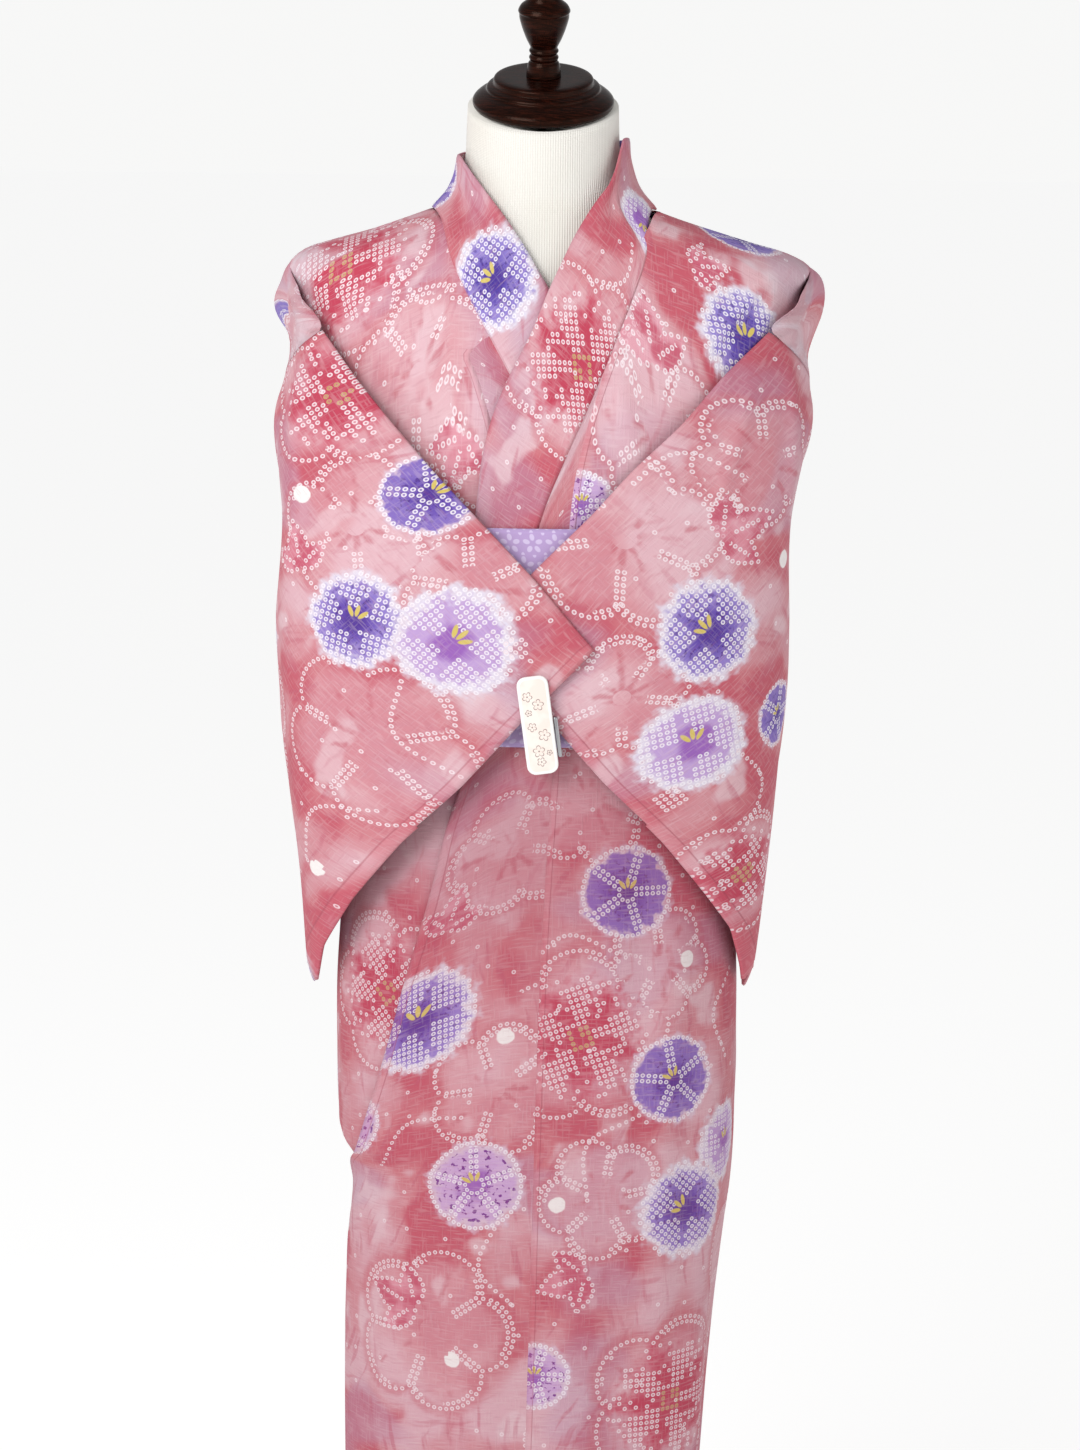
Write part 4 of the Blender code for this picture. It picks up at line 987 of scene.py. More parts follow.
def dyed_blossoms(colour, u, v, ragged):
    """Large open flowers: fans of tied dots on crimson, or only their outlines in chains."""
    x, y, radius, is_kind = motif("blossom")
    away = length(x, y)
    share = away / radius
    lobes = 2.5

    def outline(angle):
        return radius * (0.72 + 0.25 * calc("POWER", abs(calc("COSINE", angle * lobes)), 0.6))

    edge = away / outline(calc("ARCTAN2", y, x)) + ragged * 0.10
    full, open_flower = is_kind(BLOSSOM), is_kind(OUTLINE)
    either = full + open_flower
    colour = paint(colour, "#D9B0B8", fade(edge, 1.00, 0.72) * (full * 0.50 + open_flower * 0.42))
    colour = paint(colour, "#BC5E6A", fade(abs(edge - 1.02), 0.15, 0.02) * either * 0.50)
    _, aside = spoke_place(x, y, 10)
    fold = fade(abs(aside) + ragged * 0.006, 0.0040, 0.0004)
    fold = fold * fade(noise(u * 40, v * 40), 0.48, 0.62)
    colour = paint(colour, "#B5505F", fold * fade(edge, 0.95, 0.7) * (share > 0.12) * either * 0.55)
    notch, beside = spoke_place(calc("MULTIPLY", x, -1.0), y, 5)
    core = share + ragged * 0.6 - fade(abs(beside), 0.012, 0.0) * 0.16
    colour = paint(colour, "#C05468", fade(core, 0.76, 0.42) * full * 0.82)
    colour = paint(colour, "#B52F4A", fade(core, 0.54, 0.24) * full * 0.90)
    cell_x, cell_y = cell_middle(x), cell_middle(y)
    cell_share = length(cell_x, cell_y) / radius
    luck = chance(cell_x, cell_y)
    _, cell_aside = spoke_place(cell_x, cell_y, 5)
    fan = abs(cell_aside) / radius < 0.035 + cell_share * 0.20
    tied = fan * (cell_share < 0.50 + luck * 0.16) * (cell_share > 0.06)
    strewn = (luck < 0.22) * (cell_share < 0.72)
    lattice = ring_dot(x - cell_x, y - cell_y) * most(tied, strewn) * full
    mean = radius * 0.88
    rim = ring_chain(x, y, mean, outline)
    inner_rim = ring_chain(x, y, mean, lambda angle: outline(angle) - PITCH * 0.95, 0.5)
    veins = row_of_dots(notch, abs(beside) - PITCH * 0.48) * (share < 0.74) * (share > 0.34)
    veins = veins * fade(noise(u * 15, v * 15), 0.44, 0.47)
    chains = most(rim, inner_rim * fade(noise(u * 22, v * 22), 0.50, 0.53), veins * open_flower)
    colour = paint(colour, "#EADCE1", most(lattice, chains * either) * 0.93)
    return paint(colour, "#B5924E", lattice * (cell_share < 0.16))


def dyed_flowers(colour, u, v, ragged):
    """Small purple flowers: tied stars in a white halo, and round ones crossed by chains."""
    x, y, radius, is_kind = motif("flower")
    star, lilac, violet, dashed = (is_kind(number) for number in (STAR, LILAC, VIOLET, DASHED))
    tied_star = most(star, lilac)
    away = length(x, y)
    share = away / radius
    edge = share + ragged * 0.42
    colour = paint(colour, "#D9D5E3", fade(edge, 1.10, 0.86) * tied_star * 0.97)
    colour = paint(colour, "#D3C4D6", fade(edge, 1.14, 0.92) * most(violet, dashed) * 0.85)
    colour = paint(colour, "#8070C2", fade(edge, 0.90, 0.72) * star * 0.94)
    colour = paint(colour, "#B08FCB", fade(edge, 0.88, 0.68) * lilac * 0.88)
    colour = paint(colour, "#7260B6", fade(edge, 0.97, 0.86) * violet * 0.96)
    colour = paint(colour, "#C0A0D0", fade(edge, 0.95, 0.75) * dashed * 0.9)
    deep, pale = most(star, violet), most(lilac, dashed)
    blushed = share + noise(u * 45, v * 45) * 0.5
    colour = paint(colour, "#4C3AA2", fade(blushed, 0.95, 0.55) * deep * 0.9)
    colour = paint(colour, "#8549AC", fade(blushed, 0.72, 0.46) * pale * 0.85)
    colour = paint(colour, "#33208A", fade(share, 0.36, 0.12) * deep * 0.9)
    angle = calc("ARCTAN2", y, x)
    dash = fade(noise(angle * 5.5, away * 230), 0.60, 0.66) * (share > 0.22)
    colour = paint(colour, "#652A8A", dash * dashed * fade(share, 0.92, 0.84))
    colour = paint(colour, "#2E187C", dash * most(violet, star) * fade(share, 0.90, 0.55) * 0.75)
    cell_x, cell_y = cell_middle(x), cell_middle(y)
    cell_share = length(cell_x, cell_y) / radius
    _, arm = spoke_place(cell_x, cell_y, 5)
    open_arm = radius * 0.155 - cell_share * radius * 0.15
    lattice = (abs(arm) > open_arm) * (cell_share < 0.97) * (cell_share > 0.20) * tied_star
    lattice = ring_dot(x - cell_x, y - cell_y) * lattice
    along, aside = spoke_place(x, y, 5)
    crossing = row_of_dots(along, abs(aside) - PITCH * 0.48) * (share > 0.16) * (share < 0.92)
    rim = ring_chain(x, y, radius, lambda _angle: radius * 0.99)
    chains = most(crossing, rim) * most(violet, dashed)
    colour = paint(colour, "#EAE7EE", most(lattice, chains) * 0.92)
    for lean in (-38.0, 0.0, 38.0):       # three anthers
        middle = math.radians(90.0 + lean)
        reach, to_x, to_y = 0.21, math.cos(middle), math.sin(middle)
        off_x, off_y = x / radius - to_x * reach, y / radius - to_y * reach
        far = off_x * to_x + off_y * to_y
        wide = off_x * to_y - off_y * to_x
        seed = length(far / 0.135, wide / 0.050)
        colour = paint(colour, "#CDBB5C", fade(seed, 1.0, 0.75) * (share < 1.0))
    return colour


def dyed_leaves(colour, u, v, ragged):
    """Three-lobed leaves in dotted outline, plain discs, tied patches and loose arcs of dots."""
    x, y, radius, is_kind = motif("leaf")
    leaf, disc, cluster, arc = (is_kind(number) for number in (LEAF, DISC, CLUSTER, ARC))
    away = length(x, y)
    lobe_step = math.radians(58.0)
    angle = calc("ARCTAN2", y, x)
    lobe = calc("MINIMUM", calc("MAXIMUM", calc("ROUND", angle / lobe_step), -1.0), 1.0)
    off = angle - lobe * lobe_step
    along, aside = away * calc("COSINE", off), abs(away * calc("SINE", off))
    reach = radius * (1 - 0.2 * abs(lobe))

    def half_width(at):
        inside = calc("MINIMUM", calc("MAXIMUM", at / reach, 0.0), 1.0)
        return reach * 0.30 * calc("SINE", calc("POWER", inside, 0.8) * math.pi)

    within = (aside < half_width(along)) * (along > 0.0) * (along < reach) * leaf
    colour = paint(colour, "#D98FA0", within * 0.6)
    colour = paint(colour, "#B94660", within * fade(noise(u * 38, v * 38), 0.38, 0.60) * 0.85)
    middle = cell_middle(along)
    near = (along > 0.0) * (along < reach + DOT)
    outline = ring_dot(along - middle, aside - half_width(middle)) * near
    vein = row_of_dots(along, aside) * (along > reach * 0.2) * (along < reach * 0.72)
    dots = most(outline, vein) * leaf
    cell_x, cell_y = cell_middle(x), cell_middle(y)
    patch = ring_dot(x - cell_x, y - cell_y) * (length(cell_x, cell_y) < radius) * cluster
    bow = cell_middle(x)
    wave = radius * 0.34 * calc("COSINE", bow / radius * 2.4)
    loose = ring_dot(x - bow, y - wave) * (abs(x) < radius) * arc
    colour = paint(colour, "#EADCE1", most(dots, patch, loose) * 0.93)
    return paint(colour, "#EDEAE8", fade(away / radius + ragged * 0.35, 1.0, 0.84) * disc)


def strokes(u, v, turn, fine=150.0):
    """Short creases of darker dye that lie one way."""
    cosine, sine = math.cos(math.radians(turn)), math.sin(math.radians(turn))
    along, aside = u * cosine + v * sine, v * cosine - u * sine
    bowed = aside + noise(u * 22 + turn, v * 22) * 0.012
    return fade(noise(along * 19 + turn, bowed * fine, 1.0), 0.60, 0.78)


def print_colour(u, v):
    """The dyed cloth: clouds of pink and rose, creases, single dots and the motifs."""
    ragged = noise(u * 110, v * 110, 2.0) - 0.5
    cloud = noise(u * 9.5 + 3.1, v * 8.0, 2.0, 0.5)
    drift = noise(u * 17 + 9.0, v * 15 + 5.0, 2.0)
    cool = noise(u * 7.0 + 21.0, v * 9.0 + 13.0, 1.0)
    colour = paint("#D3ABB4", "#C98B93", fade(cloud, 0.35, 0.47))
    colour = paint(colour, "#C36E76", fade(cloud, 0.46, 0.57) * 0.90)
    colour = paint(colour, "#B84A5B", fade(cloud + drift * 0.6, 0.81, 0.93) * 0.85)
    colour = paint(colour, "#B095AE", fade(cool, 0.57, 0.67) * 0.40)
    colour = paint(colour, "#DABFC6", fade(drift, 0.38, 0.29) * 0.65)
    held = fade(noise(u * 13 + 2.0, v * 13), 0.44, 0.56)
    colour = paint(colour, "#B24E64", strokes(u, v, 64.0) * held * 0.46)
    colour = paint(colour, "#B24E64", strokes(u, v, 96.0) * (1 - held) * 0.46)
    colour = paint(colour, "#B55A6C", strokes(u, v, 12.0) * fade(drift, 0.48, 0.58) * 0.42)
    colour = dyed_blossoms(colour, u, v, ragged)
    wide = 0.030
    corner_u, corner_v = calc("FLOOR", u / wide), calc("FLOOR", v / wide)
    luck_u, luck_v = chance(corner_u, corner_v), chance(corner_u + 51.0, corner_v)
    dot_u = (corner_u + 0.2 + luck_u * 0.6) * wide
    dot_v = (corner_v + 0.2 + luck_v * 0.6) * wide
    single = ring_dot(u - dot_u, v - dot_v) * (chance(corner_u, corner_v + 17.0) < 0.55)
    colour = paint(colour, "#EADCE1", single * 0.9)
    colour = dyed_flowers(colour, u, v, ragged)
    return dyed_leaves(colour, u, v, ragged)


# ---- materials
def new_material(name, roughness, sheen=0.0):
    """A material whose tree the next nodes go to, and its shader."""
    made = bpy.data.materials.new(name)
    made.use_nodes = True
    Wire.tree = made.node_tree
    shader = made.node_tree.nodes["Principled BSDF"]
    shader.inputs["Roughness"].default_value = roughness
    if sheen:
        shader.inputs["Sheen Weight"].default_value = sheen
        shader.inputs["Sheen Roughness"].default_value = 0.5
    return made, shader


def add_bump(shader, height, distance, strength):
    bump = node_of("ShaderNodeBump")
    bump.inputs["Strength"].default_value = strength
    bump.inputs["Distance"].default_value = distance
    feed(bump.inputs["Height"], height)
    Wire.tree.links.new(bump.outputs[0], shader.inputs["Normal"])


def dress(shader, colour, height, distance, strength=0.6):
    """Gives a shader its colour and its relief."""
    Wire.tree.links.new(colour.socket, shader.inputs["Base Color"])
    add_bump(shader, height, distance, strength)


def flat_place():
    """Places on the flat cut, in metres."""
    u, v, _ = split(Wire(node_of("ShaderNodeUVMap", uv_map="cut").outputs[0]))
    return u, v


def solid_place():
    """Places in the solid, in metres."""
    return split(Wire(node_of("ShaderNodeTexCoord").outputs["Object"]))


def waves(along, pitch):
    return calc("SINE", along * (FULL_TURN / pitch))


def threads(u, v, pitch):
    """Plain weave: threads that pass over and under each other."""
    return waves(u, pitch) * waves(v, pitch) * 0.5 + 0.5


THREAD_PITCH, BELT_THREAD_PITCH = 0.00125, 0.0009


def printed_cotton():
    """Rose cotton: the print under slubs, weave and hems, with painted shade that makes it deeper
    or greyer.
    """
    made, shader = new_material("rose_cotton", 0.86, 0.03)
    u, v = flat_place()
    colour = print_colour(u, v)
    slub_across = fade(noise(u * 58, v * 560, 1.0), 0.50, 0.72)
    slub_down = fade(noise(u * 560 + 40, v * 58, 1.0), 0.52, 0.74)
    colour = paint(colour, "#E6D2D5", most(slub_across, slub_down * 0.7) * 0.17)
    thick = fade(noise(u * 64 + 7.0, v * 540 + 3.0, 1.0), 0.56, 0.74)
    colour = paint(colour, "#A04B5E", thick * 0.13)
    weave = threads(u, v, THREAD_PITCH)
    colour = paint(colour, "#9C5464", weave * 0.10)
    hem_depth, stitch_width = 0.0078, 0.0009
    hem = Wire(attribute("hem").outputs["Fac"])
    sewn = fade(abs(hem - hem_depth), stitch_width, 0.0002)
    doubled = fade(hem, 0.0082, 0.0074)
    colour = paint(colour, "#C9606F", doubled * 0.16)
    colour = paint(colour, "#9C3F50", sewn * 0.42)
    # Painted shade: a positive value paints the cloth a deeper rose where it lies in shade; a
    # negative value paints it greyer, as painted shade seen through the sheer cloth
    tone = Wire(attribute("tone").outputs["Fac"])
    colour = paint(colour, "#8A3348", calc("MAXIMUM", tone, 0.0) * 0.36)
    colour = paint(colour, "#C9C6CE", calc("MAXIMUM", 0.0 - tone, 0.0) * 0.55)
    height = weave * 0.3 + most(slub_across, slub_down) * 0.7 + doubled * 1.2
    dress(shader, colour, height, 0.00035)
    return made


def lavender_cotton():
    """The belt's cotton, woven with small pale flowers."""
    made, shader = new_material("lavender_cotton", 0.78, 0.1)
    u, v = flat_place()
    wide = 0.0185
    row = calc("FLOOR", v / wide)
    shifted = u + calc("MODULO", abs(row), 2.0) * (wide / 2)
    x = shifted - (calc("FLOOR", shifted / wide) + 0.5) * wide
    y = v - (row + 0.5) * wide
    along, aside = spoke_place(y, x, 5)
    flower = fade(length((along - 0.0054) / 0.0033, aside / 0.0023), 1.0, 0.7)
    bud_x, bud_y = abs(x) - wide / 2, abs(y) - wide / 2
    leaf = fade(length(bud_x / 0.0016, bud_y / 0.0024), 1.0, 0.8)
    colour = paint("#B69DCB", "#D6C8E6", most(flower, leaf) * 0.85)
    colour = paint(colour, "#9A80B8", fade(noise(u * 30, v * 30), 0.45, 0.65) * 0.25)
    weave = threads(u, v, BELT_THREAD_PITCH)
    colour = paint(colour, "#8669A8", weave * 0.12)
    dress(shader, colour, weave + flower * 0.8, 0.0002)
    return made


def ribbed_jersey():
    made, shader = new_material("white_jersey", 0.9, 0.15)
    u, v = flat_place()
    rib_pitch, stitch_pitch = 0.0021, 0.0016
    rib = waves(u, rib_pitch) * 0.5 + 0.5
    stitch = waves(v, stitch_pitch) * 0.5 + 0.5
    soft = noise(u * 9, v * 9, 3.0)
    colour = paint("#E6E3DC", "#D3CFC7", rib * 0.55)
    colour = paint(colour, "#F0EEE9", stitch * 0.25)
    colour = paint(colour, "#DCD7CC", fade(soft, 0.45, 0.7) * 0.35)
    dress(shader, colour, (1 - rib) * 0.8 + stitch * 0.3, 0.0005, 0.8)
    return made


def turned_wood():
    made, shader = new_material("dark_wood", 0.24)
    shader.inputs["Specular IOR Level"].default_value = 0.11
    shader.inputs["Specular Tint"].default_value = (1.0, 0.62, 0.48, 1.0)
    x, y, z = solid_place()
    grain = noise(x * 90 + y * 40, z * 900 + x * 60, 4.0, 0.6)
    pores = noise(x * 700, z * 160 + y * 500, 2.0)
    colour = paint("#110503", "#2B0F08", fade(grain, 0.40, 0.70))
    colour = paint(colour, "#0C0403", fade(pores, 0.60, 0.72) * 0.7)
    dress(shader, colour, grain * 0.5 + pores, 0.0002, 0.35)
    return made


def painted_metal():
    made, shader = new_material("black_metal", 0.34)
    shader.inputs["Metallic"].default_value = 0.7
    x, y, z = solid_place()
    worn = noise(x * 160, z * 60 + y * 160, 4.0)
    colour = paint("#161618", "#2C2C30", fade(worn, 0.45, 0.7))
    dress(shader, colour, worn, 0.0002, 0.3)
    return made


def plated_steel():
    made, shader = new_material("clip_steel", 0.26)
    shader.inputs["Metallic"].default_value = 1.0
    x, y, z = solid_place()
    brushed = noise(x * 900, z * 80 + y * 300, 2.0)
    colour = paint("#8F8F93", "#BDBDC0", brushed)
    dress(shader, colour, brushed, 0.0001, 0.25)
    return made


CLIP_FLOWERS = table(
    "x y size turn",
    (-0.0055, 0.0245, 0.004, 0.2), (0.0025, 0.017, 0.0046, 1.1), (-0.006, 0.011, 0.0026, 0.7),
    (-0.0045, -0.001, 0.0036, 0.5), (0.0045, -0.0085, 0.0048, 0.0),
    (-0.0015, -0.0215, 0.0048, 0.9), (0.007, -0.0235, 0.0022, 0.3),
    (-0.0005, -0.0305, 0.0036, 1.4),
)


def clip_enamel():
    """Cream enamel with outlined flowers and a white rim; places come from the clip's own map."""
    made, shader = new_material("clip_enamel", 0.30)
    u, v = flat_place()
    colour = paint("#EEDDD4", "#F1E4DC", fade(noise(u * 60, v * 60), 0.4, 0.6))
    line = 0.0
    for x, y, size, turn in zip(*(column.tolist() for column in CLIP_FLOWERS.values())):
        off_x, off_y = u - x, v - y
        away = length(off_x, off_y)
        petal = abs(calc("COSINE", (calc("ARCTAN2", off_y, off_x) + turn) * 2.5))
        rim = calc("POWER", petal, 0.6) * (size * 0.62) + size * 0.38
        drawn = most(fade(abs(away - rim), 0.00050, 0.00022), fade(away, 0.0009, 0.0005))
        line = most(drawn, line)
    colour = paint(colour, "#7C6662", line * 0.85)
    corner = 0.0080
    beyond_u = calc("MAXIMUM", abs(u) - (CLIP_WIDTH / 2 - corner), 0.0)
    beyond_v = calc("MAXIMUM", abs(v) - (CLIP_LENGTH / 2 - corner), 0.0)
    inside = fade(length(beyond_u, beyond_v), 0.0058, 0.0052)
    colour = paint("#F0EFEC", colour, inside)
    dress(shader, colour, line + inside * -0.5, 0.0001, 0.4)
    return made


# ---- the garment's prints
FRONT_PRINTS = {
    "collar": table(
        "kind x z radius turn",
        (STAR, -0.038, 1.336, 0.041, 20), (BLOSSOM, 0.034, 1.262, 0.078, 35),
        (LILAC, 0.082, 1.387, 0.027, 10), (VIOLET, -0.084, 1.421, 0.03, 0),
        (ARC, 0.062, 1.345, 0.03, 70),
    ),
    "body_left": table(
        "kind x z radius turn",
        (STAR, 0.168, 1.29, 0.043, 15), (STAR, 0.129, 0.548, 0.044, 50),
        (LILAC, 0.162, 0.606, 0.036, 0), (VIOLET, 0.077, 0.826, 0.038, 0),
        (VIOLET, 0.117, 0.664, 0.037, 30), (VIOLET, 0.166, 1.38, 0.034, 0),
        (DASHED, 0.004, 0.401, 0.029, 0), (DASHED, 0.035, 1.151, 0.026, 0),
        (BLOSSOM, 0.04, 0.7, 0.078, 20), (BLOSSOM, 0.12, 0.376, 0.078, 0),
        (OUTLINE, 0.095, 1.21, 0.055, 30), (OUTLINE, 0.045, 0.905, 0.06, 10),
        (OUTLINE, 0.06, 0.56, 0.056, 45), (OUTLINE, 0.105, 0.765, 0.05, 60),
        (LEAF, 0.091, 1.268, 0.047, 100), (LEAF, 0.046, 0.492, 0.042, 200),
        (LEAF, 0.125, 1.35, 0.03, 20), (DISC, 0.127, 0.768, 0.0078, 0),
        (DISC, 0.022, 0.554, 0.0078, 0), (CLUSTER, 0.128, 1.215, 0.013, 0),
        (ARC, 0.06, 0.6, 0.045, 60), (ARC, 0.03, 0.775, 0.04, 10), (ARC, 0.16, 0.72, 0.04, 80),
    ),
    "body_right": table(
        "kind x z radius turn",
        (BLOSSOM, -0.165, 1.348, 0.078, 0), (BLOSSOM, -0.123, 0.736, 0.072, 40),
        (OUTLINE, -0.1, 1.255, 0.062, 15), (OUTLINE, -0.045, 1.2, 0.05, 50),
        (LEAF, -0.062, 1.205, 0.038, 250), (ARC, -0.09, 1.33, 0.036, 150),
    ),
    "sleeve_right": table(
        "kind x z radius turn",
        (STAR, -0.151, 1.052, 0.04, 30), (LILAC, -0.07, 1.034, 0.046, 0),
        (VIOLET, -0.087, 1.157, 0.034, 10), (BLOSSOM, -0.165, 1.24, 0.062, 0),
        (OUTLINE, -0.135, 0.95, 0.078, 20), (OUTLINE, -0.15, 1.13, 0.062, 0),
        (OUTLINE, -0.055, 1.08, 0.05, 40), (LEAF, -0.197, 1.098, 0.038, 150),
        (LEAF, -0.105, 1.22, 0.03, 60), (DISC, -0.196, 1.158, 0.0078, 0),
        (DISC, -0.184, 0.842, 0.0078, 0), (ARC, -0.175, 0.88, 0.045, 80),
        (ARC, -0.1, 0.96, 0.045, 150), (CLUSTER, -0.018, 1.03, 0.01, 0),
    ),
    "sleeve_left": table(
        "kind x z radius turn",
        (STAR, 0.143, 1.046, 0.043, 0), (LILAC, 0.131, 0.952, 0.043, 25),
        (VIOLET, 0.204, 0.979, 0.027, 0), (BLOSSOM, 0.176, 0.842, 0.056, 0),
        (OUTLINE, 0.07, 1.122, 0.074, 0), (OUTLINE, 0.185, 1.19, 0.055, 30),
        (OUTLINE, 0.07, 0.99, 0.055, 50), (LEAF, 0.151, 1.124, 0.047, 200),
        (DISC, 0.205, 1.11, 0.0078, 0), (ARC, 0.18, 0.915, 0.04, 120), (ARC, 0.12, 1.18, 0.04, 40),
        (CLUSTER, 0.112, 0.905, 0.011, 0),
    ),
    "okumi_left": table(
        "kind x z radius turn",
        (STAR, -0.095, 0.712, 0.05, 0), (DASHED, -0.048, 0.571, 0.04, 20),
        (LEAF, -0.072, 0.792, 0.038, 70), (LEAF, -0.098, 0.461, 0.046, 160),
        (DISC, -0.023, 0.701, 0.0078, 0), (DISC, -0.066, 0.414, 0.0078, 0),
        (OUTLINE, -0.085, 0.44, 0.075, 0), (OUTLINE, -0.02, 0.86, 0.055, 30),
        (OUTLINE, -0.03, 0.655, 0.06, 0), (ARC, -0.1, 0.61, 0.045, 30),
        (ARC, -0.03, 0.5, 0.04, 100),
    ),
}
PRINT_SEEDS = {
    "collar": 3, "body_left": 11, "body_right": 12, "okumi_left": 21, "okumi_right": 22,
    "sleeve_left": 31, "sleeve_right": 32,
}


def prints_for(name, points, cut):
    """The motifs placed on a piece's shown side."""
    rows = FRONT_PRINTS.get(name)
    return placed(rows, points, cut) if rows else []


def filled(name, cut, depth, made):
    """The same motifs with others scattered over the rest of the cut."""
    return made + scattered(cut[::3], depth[::3], PRINT_SEEDS[name], made)


# ---- body panels and okumi
FINE = 0.0050             # spacing of the cloth's grid
SLOPE_STEP = 0.002        # between the levels at which lengths down the cloth are taken
SEAM_BAND = 1.5           # narrows the pressed seam allowance against a hem
BESIDE_NECK = 0.075       # lengths down from the shoulder are taken no nearer the middle


def fine_row(points, row, spacing=FINE):
    """The refined number of a coarse row."""
    steps = np.linalg.norm(np.diff(points, axis=0), axis=-1).mean(axis=1)
    return sum(max(1, round(step / spacing)) for step in steps[:row])


def length_up(points):
    """Length up the cloth from its lowest row to each point."""
    steps = np.linalg.norm(np.diff(points, axis=0), axis=-1)
    above = np.cumsum(steps[::-1], axis=0)[::-1]
    return np.concatenate((above, np.zeros_like(above[:1])))


def slope_lengths(side, column):
    """Lengths down the skin from the shoulder, on an even grid of x and z, front or back."""
    x, z = np.linspace(0.0, 0.240, 61), np.arange(1.470, HEM_Z - 0.01, -SLOPE_STEP)
    width = read(SKIN, "plus" if side > 0 else "minus", z)
    power = read(SKIN, "power", z)
    share = np.minimum(x[:, None] / width, 1.0)
    deep = read(SKIN, column, z) * (1 - share ** power) ** (1 / power)
    steps = np.hypot(np.diff(deep, axis=1), SLOPE_STEP) * (share[:, 1:] < 1.0)
    lengths = np.concatenate((np.zeros((len(x), 1)), np.cumsum(steps, axis=1)), axis=1)
    return x, z, lengths


def length_down(side, column, points):
    """Length down the cloth from the shoulder fold to each point."""
    x, z, lengths = slope_lengths(side, column)
    beside = np.maximum(np.abs(points[..., 0]), BESIDE_NECK)
    across = np.clip(beside / (x[1] - x[0]), 0, len(x) - 1.001)
    down = np.clip((z[0] - points[..., 2]) / SLOPE_STEP, 0, len(z) - 1.001)
    i, j = across.astype(int), down.astype(int)
    s, t = across - i, down - j
    upper = lengths[i, j] * (1 - t) + lengths[i, j + 1] * t
    lower = lengths[i + 1, j] * (1 - t) + lengths[i + 1, j + 1] * t
    return upper * (1 - s) + lower * s


def down_the_cut(side, column, points, way):
    """Places down a panel's cut: measured from the shoulder fold above, level rows below.

    The way is -1 down the front and 1 down the back.
    """
    join_z, chest_z, chest_height = 1.25, 1.19, 0.13
    from_fold = SHOULDER_Z + way * length_down(side, column, points)
    up = length_up(points)
    row = np.argmin(np.abs(points[:, 0, 2] - join_z))
    level = from_fold[row].mean() + way * (up[row].mean() - up)
    return blend(level, from_fold, ramp(points[..., 2], chest_z, chest_height))


def flat_across(points, walked):
    """Places across the cut: lengths round the body, and plain x over the shoulder."""
    under_shoulder, change = 1.29, 0.06
    return blend(walked, points[..., 0], ramp(points[..., 2], under_shoulder, change))


def free_of_sleeves(turn_u, z):
    """1 where the skirt hangs clear of the sleeves, and 0 under them."""
    places, heights, change = (0.0, 0.06, 0.19, 0.22), (0.950, 0.930, 0.765, 0.725), 0.06
    return ease((np.interp(np.abs(turn_u), places, heights) - z) / change)


def relief(points, turn_u):
    """Height of the body's creases at each point."""
    z = points[..., 2]
    skirt = crease(turn_u, z, SKIRT_CREASES) * free_of_sleeves(turn_u, z)
    chest = crease(turn_u, z, SHOULDER_CREASES) * ramp(z, 1.165, 0.03)
    return skirt + chest


def sheer_tone(points):
    """Painted shade, as a negative value: greyer in front where the cloth stands past the form's
    shoulder, with nothing behind it.
    """
    x, y, z = points[..., 0], points[..., 1], points[..., 2]
    edge = np.where(x > 0, read(FORM, "plus", z), read(FORM, "minus", z))
    beyond = ease((np.abs(x) - edge - 0.001) / 0.005) * ease((-0.004 - y) / 0.012)
    return -0.75 * beyond * ramp(z, 1.19, 0.04) * ease((1.375 - z) / 0.01)


def skirt_tone(points):
    """Painted shade: deeper below the belt, away from the form, and deeper still in front as a
    painted shadow under the sleeves.
    """
    painted_sleeve_shadow = ramp(points[..., 2], 0.74, 0.14) * (points[..., 1] < 0)
    return (0.64 + 0.50 * painted_sleeve_shadow) * ease((1.00 - points[..., 2]) / 0.06)


